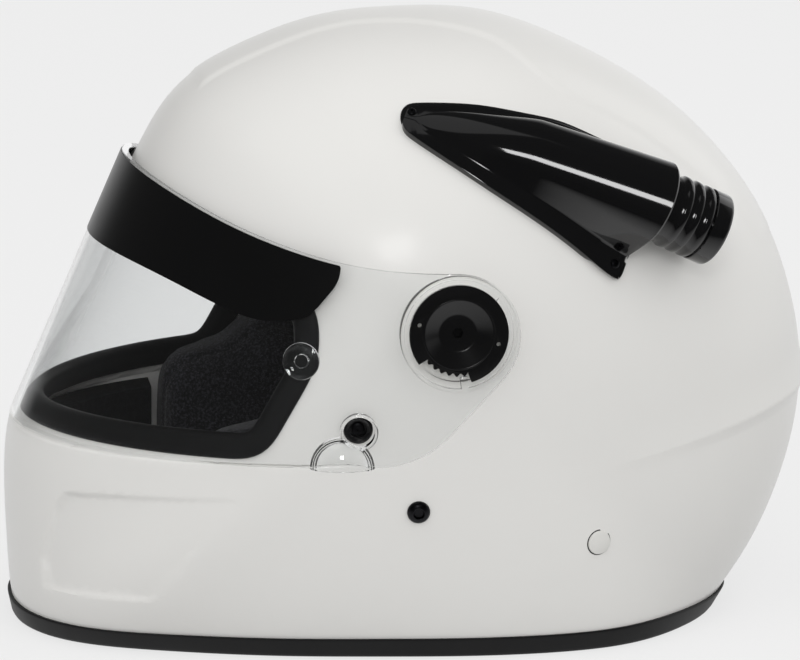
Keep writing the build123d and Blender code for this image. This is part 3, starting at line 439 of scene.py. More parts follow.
# %% Lift the ledge and the band, sink the panels, step in behind the visor
skin = places_of(shell)
out = facing(form_share, skin)
over_ledge = (skin - LEDGE + (0, 0, PIVOT)) @ np.array(ledge_up)
proud = np.clip(3.6 * out[:, 1] - 0.006 * np.linalg.norm(skin[:, :2], axis=1), 0, None)
above, below = np.clip(over_ledge, 0, None), np.clip(-over_ledge, 0, None)
lift = proud * np.clip(1 - above / 14, 0, 1) ** 1.6 * np.clip(1 - below / 5.5, 0, 1) ** 1.3
skin += out * lift[:, None]
crown = soft(inside_depth(skin[:, :2], band_outline), -1.6, 1.6) * (skin[:, 2] > 20)
skin[:, 2] += crown
panel = soft(inside_depth(skin[:, 1:] + (0, PIVOT), panel_outline), -0.9, 1.2) * (np.abs(skin[:, 0]) > 12)
panel_depth = np.clip(0.0227 * (-89.2 - skin[:, 1]) + 0.25, 0, 2.2)
skin -= out * (panel_depth * panel)[:, None]
high = skin[:, 2] + PIVOT
round_ray = np.stack([skin[:, 0], skin[:, 1], np.zeros(len(skin))], 1)
length = np.linalg.norm(round_ray, axis=1)
round_ray /= length[:, None] + 1e-9
c, s = math.cos(LEAN), math.sin(LEAN)
qa = (round_ray[:, 0] / STEP_WIDE) ** 2 + (round_ray[:, 1] * c / STEP_DEEP) ** 2
qb = -2 * round_ray[:, 1] * c * skin[:, 2] * s / STEP_DEEP ** 2
qc = (skin[:, 2] * s / STEP_DEEP) ** 2 - 1
tube = (-qb + np.sqrt(np.clip(qb * qb - 4 * qa * qc, 0, None))) / (2 * qa)
ahead_of_step = skin[:, 1] < SHELF_BACK
shorter = np.where((high > SHELF + 0.05) & ahead_of_step, np.minimum(length, tube), length)
RIM = 1.2  # the radius of the shelf's front edge
rim = (high > SHELF - RIM - 0.1) & (high < SHELF + 0.05) & ahead_of_step
rim_drop = np.clip(high - (SHELF - RIM), 0, RIM) / RIM
shorter = np.where(rim, length - RIM * (1 - np.sqrt(np.clip(1 - rim_drop ** 2, 0, 1))), shorter)
skin[:, :2] = round_ray[:, :2] * shorter[:, None]
put_back(shell, skin)
print("ledge rises", lift.max().round(2), "mm; band", crown.sum().round(), "; shelf", (length - shorter).max().round(2))

# %% [markdown]
# The eyeport is cut through the wall with a Boolean, after Solidify has given the skin the
# laminate's four millimetres. The cut edge stays hidden in the rubber gasket, so it needs no bevel.

# %% The eyeport's outline, rounded and moved in to the middle of the gasket
def rounded(corners, radii):
    """A closed outline with arcs in place of its corners."""
    points = []
    count = len(corners)
    for i, (corner, radius) in enumerate(zip(corners, radii)):
        here = Vector(corner)
        before = (Vector(corners[i - 1]) - here).normalized()
        after = (Vector(corners[(i + 1) % count]) - here).normalized()
        if radius == 0:
            points.append(tuple(here))
            continue
        half = before.angle(after) / 2
        centre = here + (before + after).normalized() * (radius / math.sin(half))
        first = here + before * (radius / math.tan(half)) - centre
        last = here + after * (radius / math.tan(half)) - centre
        for step in range(9):
            mixed = first.slerp(last, step / 8)
            points.append(tuple(centre + mixed.normalized() * radius))
    return points


def moved_in(corners, distance):
    """The corners of an outline whose sides have all moved inwards."""
    sides = []
    for a, b in zip(corners, corners[1:] + corners[:1]):
        run = (Vector(b) - Vector(a)).normalized()
        sides.append((Vector(a) + Vector((-run.y, run.x)) * distance, run))
    moved = []
    for (p, d), (q, e) in zip(sides[-1:] + sides[:-1], sides):
        t = ((q - p).x * e.y - (q - p).y * e.x) / (d.x * e.y - d.y * e.x)
        moved.append(tuple(p + d * t))
    return moved


port_corners = [(-220, 88.6), (-78.1, 88.6), (-55, 129.3), (-55, 150.75), (-64.9, 162.3), (-113.3, 181.5),
                (-132, 187), (-220, 187)]
HALF_GASKET = 5.5
middle_line = rounded(moved_in(port_corners, HALF_GASKET), [0, 9, 29, 9, 9, 29, 0, 0])
print("eyeport outline:", len(middle_line), "points")


# %% Thickness, then the eyeport cut
def prism(name, corners, half_width, middle=0.0):
    """A closed outline in Y and Z, in millimetres, made a solid across the helmet for a Boolean cut."""
    tool = piece_from(name, [(middle - half_width, y, z) for y, z in corners], [list(range(len(corners)))])
    edited((bpy.ops.mesh.extrude_region_move, {"TRANSFORM_OT_translate": {"value": (2 * half_width / 1000, 0, 0)}}),
           (bpy.ops.mesh.normals_make_consistent, {"inside": False}))
    return tool


def boolean(piece, tool, operation):
    """Cuts, joins or trims a piece with another, which is then thrown away."""
    shaped(piece, "BOOLEAN", operation=operation, solver="EXACT", object=tool)
    bpy.data.objects.remove(tool)


shaped(shell, "SOLIDIFY", thickness=0.004, offset=-1)
boolean(shell, prism("eyeport_tool", middle_line, 160), "DIFFERENCE")
only(shell)
bpy.ops.object.shade_smooth_by_angle(angle=math.radians(40))
print("shell faces:", len(shell.data.polygons))

# %% [markdown]
# ## Finishes for the shell and the moulded parts
# The shell is white gelcoat sprayed on a composite laminate: a hard gloss over a barely rippled
# skin, called orange peel, whose waves are two to three millimetres across. Under the gloss the
# white is a little warm.

# %% Gloss white shell
white, shader = start("shell_white_gelcoat_gloss", "#E4E3E0", 0.30, Specular_IOR_Level=0.3,
                      Coat_Weight=0.1, Coat_Roughness=0.12)
peel = pattern(white, "ShaderNodeTexNoise", Scale=380.0, Detail=2.0)
bump(white, shader, peel.outputs["Fac"], 0.05, 0.0004)
cloud = pattern(white, "ShaderNodeTexNoise", Scale=9.0, Detail=3.0)
two_tone(white, shader, cloud.outputs["Fac"], "#E2E1DE", "#E7E6E3")
painted(shell, white)
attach(shell, "helmet")
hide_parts("outer_shell")
print("shell finish:", white.name)

# %% [markdown]
# The intake, the pivot rings and the screws are injection moulded in black, some polished and some
# with the mould's fine grain. The edges are rubber, which is duller.

# %% Black plastics, rubber, metal
def grained(name, colour, roughness, grain, depth, spread, **more):
    """A moulded finish: one noise gives its grain, at a size in millimetres, and another its uneven gloss."""
    material, shader = start(name, colour, roughness, **more)
    noise = pattern(material, "ShaderNodeTexNoise", Scale=1000 / grain, Detail=3.0)
    bump(material, shader, noise.outputs["Fac"], 0.5, depth)
    patch = pattern(material, "ShaderNodeTexNoise", Scale=30.0, Detail=4.0)
    dull = node(material, "ShaderNodeMapRange", {"To Min": roughness - spread, "To Max": roughness + spread},
                {"Value": patch.outputs["Fac"]})
    material.node_tree.links.new(dull.outputs[0], shader.inputs["Roughness"])
    return material


gloss_black = grained("intake_black_abs_polished", "#0A0A0B", 0.08, 1.2, 0.000006, 0.02, Specular_IOR_Level=0.7)
satin_black = grained("pivot_black_nylon_moulded", "#0C0C0D", 0.26, 0.6, 0.00002, 0.05)
rubber = grained("edge_black_rubber_extruded", "#0F0F10", 0.52, 0.5, 0.00004, 0.08, Specular_IOR_Level=0.25)
steel = grained("fittings_steel_zinc_plated", "#B9B9B4", 0.30, 0.4, 0.00001, 0.06, Metallic=1.0)
dark_steel = grained("screws_steel_blackened", "#2A2A2C", 0.36, 0.4, 0.00001, 0.06, Metallic=1.0)
white_plastic = grained("plug_white_nylon_moulded", "#DEDDD9", 0.33, 0.5, 0.00001, 0.05)
print("plastics:", gloss_black.name, satin_black.name, rubber.name)

# %% [markdown]
# ## Rubber edges
# The eyeport's gasket is an extruded U of rubber pushed on the shell's cut edge, and the base trim is
# a thicker roll pushed on the lower edge. Both are one section carried round a closed path. Here
# the path is read from the shell's form, so that the rubber hugs it from every side.

# %% Places on the stepped shell, from the side and from the front
def side_place(y, z, inset=0.0):
    """The point of the left side at a place of the side view; y and z in millimetres, z over the base."""
    up = z - PIVOT
    radius = np.hypot(y, up)
    reach = np.interp(np.degrees(np.arctan2(up, -y)) % 360, fine_turns, fine_reach, period=360) - inset
    power = 2 + 0.4 * ((1 - up / radius) / 2) ** 2
    x = (HALF_WIDTH - inset) * np.clip(1 - (radius / reach) ** power, 0, 1) ** (1 / power)
    tube_x = (STEP_WIDE - inset) * np.sqrt(np.clip(1 - (leaned(y, up) / (STEP_DEEP - inset)) ** 2, 0, 1))
    behind = (z > SHELF) & (y < SHELF_BACK)
    return np.stack([np.where(behind, np.minimum(x, tube_x), x), y, up], -1)


def front_places(turn_first, turn_last, heights, count):
    """Points round the front between two turns from straight ahead; heights(y) gives the line's z."""
    turns = np.radians(np.linspace(turn_first, turn_last, count))
    ahead = np.stack([np.sin(turns), -np.cos(turns), 0 * turns], 1)
    z = np.full(count, heights(-130.0))
    for _ in range(6):
        origin = np.stack([0 * z, 0 * z, z - PIVOT], 1)
        points = out_to(stepped_share, origin, ahead)
        z = np.array([heights(y) for y in points[:, 1]])
    return points


def evenly(points, count):
    """The same closed line with evenly spaced points."""
    ring = np.vstack([points, points[:1]])
    run = run_of(ring)
    at = np.linspace(0, run[-1], count, endpoint=False)
    return np.stack([np.interp(at, run, ring[:, i]) for i in range(3)], 1)


line = np.array(middle_line)
on_side = line[line[:, 0] > -100]
side_part = side_place(on_side[:, 0], on_side[:, 1])
sill_turn = math.degrees(math.atan2(side_part[0, 0], -side_part[0, 1]))
brow_turn = math.degrees(math.atan2(side_part[-1, 0], -side_part[-1, 1]))
brow_line = line[line[:, 1] > on_side[-1, 1] - 0.01]
brow_line = brow_line[np.argsort(brow_line[:, 0])]
sill_part = front_places(0, sill_turn - 1, lambda y: port_corners[0][1] + HALF_GASKET, 40)
brow_part = front_places(brow_turn - 1, 0, lambda y: float(np.interp(y, brow_line[:, 0], brow_line[:, 1])), 40)
half_path = np.vstack([sill_part, side_part, brow_part])
mirrored = half_path[-2:0:-1] * (-1, 1, 1)
port_path = evenly(np.vstack([half_path, mirrored]), 300)
for _ in range(6):
    port_path = (np.roll(port_path, 1, 0) + 2 * port_path + np.roll(port_path, -1, 0)) / 4
print("eyeport's path:", len(port_path), "points, sill at turn", round(sill_turn), "brow at", round(brow_turn))


# %% One section carried round a path
def woven(rows, columns, closed=False):
    """Quads over rows of points that close on themselves; closed joins the last row to the first."""
    return [(i * columns + j, i * columns + (j + 1) % columns,
             (i + 1) % rows * columns + (j + 1) % columns, (i + 1) % rows * columns + j)
            for i in range(rows if closed else rows - 1) for j in range(columns)]


def carried(name, centres, across_axes, up_axes, section, closed=True):
    """A mesh whose section (across, up in millimetres) stands at every point of a path."""
    section = np.array(section, float)
    rings = centres[:, None] + across_axes[:, None] * section[None, :, :1] + up_axes[:, None] * section[None, :, 1:]
    count, corners = len(centres), len(section)
    faces = woven(count, corners, closed)
    if not closed:
        faces += [list(range(corners)), [(count - 1) * corners + j for j in range(corners)]]
    piece = piece_from(name, rings.reshape(-1, 3) + (0, 0, PIVOT), faces)
    tidy(piece, 50)
    return piece


def tidy(piece, angle):
    """Turns the faces outwards and shades them smooth up to an angle in degrees."""
    only(piece)
    edited((bpy.ops.mesh.normals_make_consistent, {"inside": False}))
    bpy.ops.object.shade_smooth_by_angle(angle=math.radians(angle))


def dress(piece, material, body, slot, *replaced):
    """Gives a finished piece its material, its body and the CAD nodes that it stands for; its slot is not used."""
    painted(piece, material)
    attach(piece, body)
    if replaced:
        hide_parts(*replaced)
    print(piece.name, len(piece.data.polygons), "faces,", material.name)


# %% The eyeport's gasket
ahead = np.roll(port_path, -1, 0) - np.roll(port_path, 1, 0)
ahead /= np.linalg.norm(ahead, axis=1, keepdims=True)
outward = facing(stepped_share, port_path)
sideways = np.cross(ahead, outward)
sideways /= np.linalg.norm(sideways, axis=1, keepdims=True)
if np.einsum("ij,ij->i", sideways, port_path - (0, -110, 0)).mean() < 0:
    sideways = -sideways
outward = np.cross(sideways, ahead) * np.sign(np.einsum("ij,ij->i", np.cross(sideways, ahead), outward))[:, None]
lip = [(5.5, -1.0), (5.5, 0.7), (5.1, 1.3), (4.4, 1.6), (1.5, 1.75), (-1.6, 1.75), (-3.2, 1.4), (-4.5, 0.6),
       (-5.3, -0.7), (-5.5, -2.2), (-5.3, -3.7), (-4.6, -5.0), (-3.2, -5.8), (-1.5, -6.0), (4.6, -6.0),
       (5.2, -5.7), (5.5, -5.0), (5.5, -3.2)]
gasket = carried("eyeport_gasket_rubber", port_path, sideways, outward, lip)
dress(gasket, rubber, "helmet", "black_rubber", "eyeport_gasket")

# %% The base trim
around = np.radians(np.linspace(0, 360, 260, endpoint=False))
level_rays = np.stack([np.cos(around), np.sin(around), 0 * around], 1)
trim_section = [(1.2, 8.5), (1.55, 8.1), (1.6, 7.4), (1.6, 1.6), (1.25, 0.6), (0.5, 0.1), (-0.4, 0.0),
                (-4.9, 0.0), (-5.8, 0.3), (-6.4, 1.2), (-6.5, 2.2), (-6.5, 7.4), (-6.2, 8.2), (-5.6, 8.5)]
trim_rings = []
for offset, height in trim_section:
    middle = np.tile((0, -25, height - PIVOT), (len(around), 1))
    trim_rings.append(out_to(form_share, middle, level_rays) + level_rays * offset)
trim_points = np.stack(trim_rings, 1).reshape(-1, 3)
trim_faces = woven(len(around), len(trim_section), closed=True)
trim = piece_from("base_trim_rubber", trim_points + (0, 0, PIVOT), trim_faces)
tidy(trim, 50)
dress(trim, rubber, "helmet", "black_rubber", "base_trim")

# %% [markdown]
# ## The clear visor
# The visor is a sheet of polycarbonate three millimetres thick, moulded as part of an elliptical
# tube that leans back. A grid is the right start: its columns follow the tube's straight lines and
# its two long sides are set on the outline, so the edge is as smooth as the real trimmed one.

# %% The visor's outline from the side
SILL, TAIL_TOP = 87.2, 166.8
TAIL, BLEND = 26.4, 42.0  # the radii of the rounded tail and of the bend that leads on to the sill


def arc(middle, radius, first, last, count):
    """Points round a circle, between two turns in degrees."""
    turns = np.radians(np.linspace(first, last, count))
    return np.stack([middle[0] + radius * np.cos(turns), middle[1] + radius * np.sin(turns)], 1)


tail_slope = math.radians(46)
tangent = (TAIL * math.sin(tail_slope), TAIL_TOP - TAIL * (1 + math.cos(tail_slope)))
run = (tangent[1] - SILL) / math.sin(tail_slope)
sill_corner = tangent[0] - run * math.cos(tail_slope)
brow_to_tail = np.array([(0, 1), (0.105, 0.816), (0.305, 0.487), (0.453, 0.294), (0.633, 0.121), (0.816, 0.029),
                         (1, 0)])
BROW, RISE = 128, 34.7  # how far ahead of the tail the brow is, and how much higher
top_y = BROW * (brow_to_tail[:, 0] - 1)
top_z = TAIL_TOP + RISE * brow_to_tail[:, 1]
fine_y = np.linspace(-BROW, 0, 90)
top_edge = np.stack([fine_y, smooth_through(top_y, top_z, fine_y)], 1)
tail_arc = arc((0, TAIL_TOP - TAIL), TAIL, 90, -44, 60)
blend_arc = arc((sill_corner - BLEND * math.tan(tail_slope / 2), SILL + BLEND), BLEND, -44, -90, 24)
visor_edge = np.vstack([[(-230, 201.5)], top_edge, tail_arc[1:], blend_arc, [(-230, SILL)]])
print("visor outline:", len(visor_edge), "points; sill from y", round(blend_arc[-1, 0], 1))


# %% Columns of the tube between an outline's edges
def tube_place(theta, along, inset=0.0):
    """A point of the visor's tube: theta from straight ahead, along its leaning axis, in millimetres."""
    local = -(TUBE_DEEP - inset) * np.cos(theta)
    return np.stack([(TUBE_WIDE - inset) * np.sin(theta), local * math.cos(LEAN) + along * math.sin(LEAN),
                     -local * math.sin(LEAN) + along * math.cos(LEAN)], -1)


def column_ends(thetas, edge):
    """Where each column of the tube enters and leaves a closed side view outline."""
    start_points = tube_place(thetas, 0 * thetas)[:, 1:] + (0, PIVOT)
    run = np.array([math.sin(LEAN), math.cos(LEAN)])
    ends = []
    for point in start_points:
        a = edge - point
        b = np.roll(edge, -1, 0) - point
        high_a, high_b = a @ (run[1], -run[0]), b @ (run[1], -run[0])
        hit = (high_a > 0) != (high_b > 0)
        t = high_a[hit] / (high_a[hit] - high_b[hit])
        reached = (a[hit] + (b[hit] - a[hit]) * t[:, None]) @ run
        ends.append((reached.min(), reached.max()) if len(reached) else (np.nan, np.nan))
    return np.array(ends)


def columns_of(edge, count, margin):
    """The columns of the tube inside an outline, closer together toward its tail, and where each one ends."""
    furthest = leaned(edge[:, 0], edge[:, 1] - PIVOT)[edge[:, 0] > -190].max()
    half = math.acos(-furthest / TUBE_DEEP) * margin * np.sin(np.linspace(0, 1, count) * math.pi / 2)
    thetas = np.concatenate([-half[:0:-1], half])
    return thetas, column_ends(np.abs(thetas), edge)


sheet = columns_of(visor_edge, 101, 0.9999)
print("columns:", len(sheet[0]), "tail at", round(math.degrees(sheet[0][-1]), 1), "degrees")


# %% The sheet, from a grid
def tube_sheet(name, thetas, ends, rows, inset, thickness):
    """A grid laid on the tube between the ends of each column, given a thickness inwards."""
    bpy.ops.mesh.primitive_grid_add(x_subdivisions=len(thetas) - 1, y_subdivisions=rows, size=2)
    piece = bpy.context.object
    piece.name = name
    grid = vertices_of(piece)
    column = np.rint((grid[:, 0] + 1) / 2 * (len(thetas) - 1)).astype(int)
    share = (grid[:, 1] + 1) / 2
    along = ends[column, 0] + (ends[column, 1] - ends[column, 0]) * share
    put_back(piece, tube_place(thetas[column], along, inset))
    shaped(piece, "SOLIDIFY", thickness=thickness / 1000, offset=-1)
    return piece


visor = tube_sheet("visor_clear", *sheet, 14, 0.0, 3.0)
low, high = visor.bound_box[0], visor.bound_box[6]
print("visor", [round(c, 4) for c in low], [round(c, 4) for c in high])

# %% [markdown]
# The pivot's bosses, the latch ring and the thumb tab are moulded on the sheet. Each is a turned or
# domed solid joined by a Boolean, and the wells and holes are then cut the same way. Where a form is
# round about the pivot axis, Spin turns its half section, as a lathe would.

# %% A turned solid, by Spin
def turned(name, section, origin, axis, steps=96):
    """Spins a closed half section (radius, height in millimetres) round an axis from its origin."""
    count = len(section)
    piece = piece_from(name, [(r, 0, h) for r, h in section], [], [(i, (i + 1) % count) for i in range(count)])
    edited((bpy.ops.mesh.spin, {"steps": steps, "angle": 2 * math.pi, "center": (0, 0, 0), "axis": (0, 0, 1)}),
           (bpy.ops.mesh.remove_doubles, {"threshold": 0.000002}),
           (bpy.ops.mesh.normals_make_consistent, {"inside": False}))
    turn = Vector(axis).normalized().to_track_quat("Z", "Y").to_matrix().to_4x4()
    piece.data.transform(Matrix.Translation(Vector(origin) / 1000) @ turn)
    return piece


def on_pivot(name, section, side, steps=96):
    """A turned solid about the pivot axis, on the left or the right side."""
    return turned(name, section, (0, 0, PIVOT), (side, 0, 0), steps)


for side, _ in SIDES:
    boss = on_pivot("boss", [(0, 124.6), (24.2, 124.6), (24.2, 129.8), (24.0, 130.2), (23.7, 130.4), (0, 130.4)],
                    side)
    boolean(visor, boss, "UNION")
latch_point = side_place(np.array(-40.5), np.array(102.5))
latch_out = facing(form_share, latch_point[None])[0]
over = latch_point + latch_out * 6.2
ring_point, _ = on_tube(over[1], over[2] + PIVOT)
ring = turned("latch_ring", [(0, -1.5), (7.9, -1.5), (7.9, 1.1), (7.6, 1.4), (7.3, 1.5), (0, 1.5)], ring_point,
              latch_out, 64)
boolean(visor, ring, "UNION")
print("bosses and latch ring joined:", len(visor.data.polygons))

# %% The thumb tab: half of a thin dome
tab_at, tab_out = on_tube(-47.8, SILL)
tab_out.normalize()
tab_up = Vector((0, math.sin(LEAN), math.cos(LEAN)))
tab_turn = Matrix((tab_up.cross(tab_out), tab_up, tab_out)).transposed().to_4x4()


def dome(name, across, up, out):
    """A ball drawn out to three half sizes and set on the visor's edge."""
    bpy.ops.mesh.primitive_uv_sphere_add(segments=64, ring_count=40, radius=0.001)
    piece = bpy.context.object
    piece.name = name
    piece.data.transform(Matrix.Diagonal((across, up, out, 1)))
    piece.data.transform(Matrix.Translation(Vector(tab_at) / 1000) @ tab_turn)
    return piece


bump_form = dome("tab", 13.4, 13.0, 8.0)
only(bump_form)
edited(*[(bpy.ops.mesh.bisect, {"plane_co": place, "plane_no": way, "clear_inner": True, "use_fill": True})
         for place, way in (((0, 0, SILL / 1000), (0, 0, 1)), ((tab_at[0] / 1000 - 0.0022, 0, 0), tuple(tab_out)))])
boolean(visor, bump_form, "UNION")
boolean(visor, dome("tab_hollow", 11.0, 10.6, 5.6), "DIFFERENCE")
print("tab joined at", [round(c, 1) for c in tab_at])

# %% Wells, holes and pegs
for side, _ in SIDES:
    well = on_pivot("well", [(0, 112), (20.2, 112), (20.2, 127.0), (16.5, 127.0), (16.5, 128.6), (22.5, 128.6),
                             (22.7, 128.8), (22.7, 136), (0, 136)], side)
    boolean(visor, well, "DIFFERENCE")
    bpy.ops.mesh.primitive_cube_add(size=1)
    peg = bpy.context.object
    peg.scale = (0.0026, 0.0032, 0.00565)
    bpy.ops.object.transform_apply(location=False, rotation=False, scale=True)
    shaped(peg, "BEVEL", width=0.0004, segments=2)
    peg.data.transform(Matrix.Rotation(math.radians(6.5), 4, "X")
                       @ Matrix.Translation((side * 0.1291, 0, -0.020625)))
    peg.data.transform(Matrix.Translation((0, 0, PIVOT / 1000)))
    boolean(visor, peg, "UNION")
hole = turned("latch_hole", [(0, -9), (6.6, -9), (6.6, 1.2), (6.9, 1.6), (6.9, 4), (0, 4)], ring_point, latch_out, 64)
boolean(visor, hole, "DIFFERENCE")
tidy(visor, 32)
print("visor done:", len(visor.data.polygons), "faces")

# %% [markdown]
# Polycarbonate is a little denser to light than glass, IOR 1.585, and its hard coat is flawless but
# for the faintest unevenness. It transmits nearly everything, so its colour shows at the edges only,
# and it casts no shadow on the shell behind it.

# %% Clear polycarbonate and the visor's body
clear, shader = start("visor_polycarbonate_hard_coated", "#FEFFFF", 0.012, Transmission_Weight=1.0, IOR=1.585)
wave = pattern(clear, "ShaderNodeTexNoise", Scale=26.0, Detail=1.0)
bump(clear, shader, wave.outputs["Fac"], 0.02, 0.001)
dress(visor, clear, "visor", "clear_visor", "visor")
visor.visible_diffuse = visor.visible_shadow = False

# %% [markdown]
# The sun strip is a thin black film stuck along the visor's top edge. It is laid on the same tube,
# a tenth of a millimetre or two above the visor.

# %% The sun strip
strip_pairs = np.array([(-1.6, .46), (-1.011, .356), (-.855, .244), (-.709, .117), (-.613, .066), (-.527, .078),
                        (-.459, .141), (-.418, .239), (-.377, .366), (-.367, .47)])
strip_low = np.stack([128 * strip_pairs[:, 0], PIVOT + 59 * strip_pairs[:, 1]], 1)
spacing = run_of(strip_low)
fine = np.linspace(0, spacing[-1], 160)
strip_low = np.stack([smooth_through(spacing, strip_low[:, i], fine) for i in (0, 1)], 1)
top_line = np.vstack([[(-230, 200.5)], top_edge - (0, 1.0)])
keep = strip_low[:, 1] < np.interp(strip_low[:, 0], top_line[:, 0], top_line[:, 1])
low_part = strip_low[keep]
meet = top_line[top_line[:, 0] < low_part[-1, 0] + 0.4]
strip_edge = np.vstack([meet, low_part[::-1]])
strip = tube_sheet("sun_strip_film", *columns_of(strip_edge, 91, 0.9995), 6, -0.35, 0.3)
tidy(strip, 40)
film = grained("strip_black_vinyl_film", "#0A0A0B", 0.30, 2.5, 0.00001, 0.05)
dress(strip, film, "visor", "strip_film", "sun_strip")

# %% [markdown]
# ## The side intake
# One glossy black moulding: an arched body that rises from its nose to the hose, a straight flank
# below it, and a thin flange screwed to the shell. Three lines on the shell rule its shape, the seat
# line, the flange's edge and the body's foot, so it is lofted: every section has the same count of
# points, set from those lines, and they are joined row by row.

# %% The three lines, drawn in the side view
seat_line = np.array([(-7.0, 222.0), (45.0, 205.5), (84.0, 185.0)])
flange_edge = np.array([(-18.1, 224.7), (-17.5, 222.5), (-15.2, 220.3), (-3.6, 212.5), (15.3, 200.0),
                        (40.2, 182.9), (57.4, 169.0), (66.1, 161.6), (69.6, 160.1), (72.6, 163.9), (76.7, 171.6),
                        (84.3, 181.9), (92.5, 198.7), (74.9, 210.4), (49.2, 222.0), (34.0, 226.0), (23.4, 228.3),
                        (13.8, 229.9), (-1.5, 230.9), (-10.3, 230.9), (-15.0, 230.0), (-17.3, 227.8)])
body_foot = np.array([(-11.5, 225.8), (-10.0, 221.6), (-5.4, 218.9), (8.3, 210.7), (22.7, 201.9), (33.8, 195.0),
                      (44.9, 188.1), (53.3, 182.4), (61.7, 176.7), (73.3, 169.3), (90, 158), (120, 195),
                      (100, 203), (75, 211.5), (49.7, 219.5), (41.9, 221.7), (33.7, 223.6), (23.7, 225.3),
                      (12.5, 227.2), (2.2, 228.3), (-6.1, 228.0), (-10, 227.4)])


def through(corners, count, closed):
    """A smooth line through corners, as many evenly spaced points."""
    ring = np.vstack([corners, corners[:1]]) if closed else corners
    run = run_of(ring)
    at = np.linspace(0, run[-1], count, endpoint=not closed)
    known = run[:-1] if closed else run
    return np.stack([smooth_through(known, corners[:, i], at, run[-1] if closed else None) for i in (0, 1)], 1)


flange_curve = through(flange_edge, 180, True)
seat_curve = through(seat_line, 101, False)
FLANGE = 3.4
print("seat line", run_of(seat_curve)[-1].round(1), "mm long")


# %% A frame at each share of the seat line, and how far sideways the lines are
def seat_frame(share):
    """The point on the shell, the way out, the way ahead and the way up the shell."""
    step = min(max(share, 0.0), 1.0) * 100
    low = min(int(step), 99)
    course = seat_curve[low + 1] - seat_curve[low]
    place = seat_curve[low] + course * (share * 100 - low)
    point = side_place(place[0], place[1])
    out = facing(form_share, point[None])[0]
    ahead = np.array((-(out[1] * course[0] + out[2] * course[1]) / out[0], course[0], course[1]))
    ahead /= np.linalg.norm(ahead)
    return point, out, ahead, np.cross(out, ahead)


def sideways_to(outline, point, upward):
    """How far an outline is from the seat line, along the flange's upper face."""
    reach = np.arange(0, 50, 0.5)
    places = point + upward * reach[:, None]
    places = places / form_share(places)[:, None]
    places = places + facing(form_share, places) * FLANGE
    inside = inside_depth(places[:, 1:] + (0, PIVOT), outline)
    first = max(np.argmax(inside < 0), 1)
    return float(np.interp(0, inside[[first, first - 1]], reach[[first, first - 1]]))


def lifted(places, height):
    """Places of the side view put at a height over the shell."""
    return side_place(places[..., 0], places[..., 1], -height)


def beside(point, upward, sideways, height):
    """A place beside the seat line, at a height over the shell's own surface."""
    place = point + upward * sideways
    place = place / form_share(place[None])[0]
    return place + facing(form_share, place[None])[0] * height


def flange_rim(point, upward, edge, inwards):
    """The flange's rounded edge: from the shell up its side and over to its upper face."""
    return [beside(point, upward, edge + inwards * over, height)
            for over, height in ((0, 0.0), (0, FLANGE - 0.7), (0.25, FLANGE - 0.2), (0.8, FLANGE))]


def between(first, last, share):
    """Part of the way from one number or point to another."""
    return first * (1 - share) + last * share


middle_seat, _, _, middle_up = seat_frame(0.5)
print("flange at mid length:", [sideways_to(flange_curve, middle_seat, way) for way in (middle_up, -middle_up)])

# %% [markdown]
# Each section runs from the flange's upper edge over the arch, down the flank on a tangent, and out to
# the flange's lower edge. The arch is half an ellipse over most of the body's width; its height grows
# along the body, and from half way it turns into the hose's own circle.

# %% How the body grows, and the hose's own frame
grow = np.array([(-0.05, 3.45, 0.0), (0.0, 4.4, 0.0), (0.1, 6.6, 0.0), (0.22, 9.4, 0.0), (0.35, 12.6, 0.3),
                 (0.45, 15.2, 0.8)])
NOSE, TO_HOSE, TO_END = -0.05, 0.45, 0.85  # shares where the body starts, turns to the hose and closes below
REACH = 0.8  # how much of the body's lower half the arch covers
HOSE_RADIUS = 18.6
hose_start, hose_end = np.array((107.0, 88.0, 189.6 - PIVOT)), np.array((103.2, 112.0, 178.2 - PIVOT))
hose_axis = (hose_end - hose_start) / np.linalg.norm(hose_end - hose_start)
body_end = hose_start - hose_axis * 3.2
hose_side = np.cross(seat_frame(1.0)[1], hose_axis)
hose_side /= np.linalg.norm(hose_side)
low_edge = flange_curve[(flange_curve[:, 1] < 222 - 0.5 * (flange_curve[:, 0] + 7)) & (flange_curve[:, 0] < 70)]
low_edge = low_edge[np.argsort(low_edge[:, 0])]
stations = np.concatenate([[-0.1, -0.098, -0.092, -0.082, -0.07, -0.058], np.linspace(NOSE, 1, 53)])
print(len(stations), "sections, the last at", (body_end + (0, 0, PIVOT)).round(1))


# %% The arch of a section
def feet(share):
    """How far above and below the seat line the body's foot is; ahead of the nose they almost meet."""
    point, _, _, upward = seat_frame(share)
    return [0.6 if share <= NOSE else sideways_to(body_foot, point, way) for way in (upward, -upward)]


def straight_arch(share):
    """Half an ellipse over the seat line: its centre, its two directions and its two half sizes."""
    point, out, _, upward = seat_frame(share)
    crest, leg = [np.interp(share, grow[:, 0], grow[:, i]) for i in (1, 2)]
    crest = FLANGE + 0.02 if share <= NOSE else crest
    top_foot, low_foot = feet(share)
    wide, shift = (top_foot + REACH * low_foot) / 2, (top_foot - REACH * low_foot) / 2
    return point + out * (FLANGE + leg) + upward * shift, upward, out, wide, max(crest - FLANGE - leg, 0.02)


last_straight = straight_arch(stations[stations <= TO_HOSE][-1])


def arch_at(share):
    """The same for any section; the later ones turn into the hose's own circle."""
    if share <= TO_HOSE:
        return straight_arch(share)
    later = (share - TO_HOSE) / (1 - TO_HOSE)
    hose = (body_end, hose_side, np.cross(hose_axis, hose_side), HOSE_RADIUS, HOSE_RADIUS)
    centre, across, over, wide, high = [between(first, last, later) for first, last in zip(last_straight, hose)]
    return centre, across / np.linalg.norm(across), over / np.linalg.norm(over), wide, high


print("half sizes where the arch starts to turn:", [round(float(size), 1) for size in last_straight[3:]])


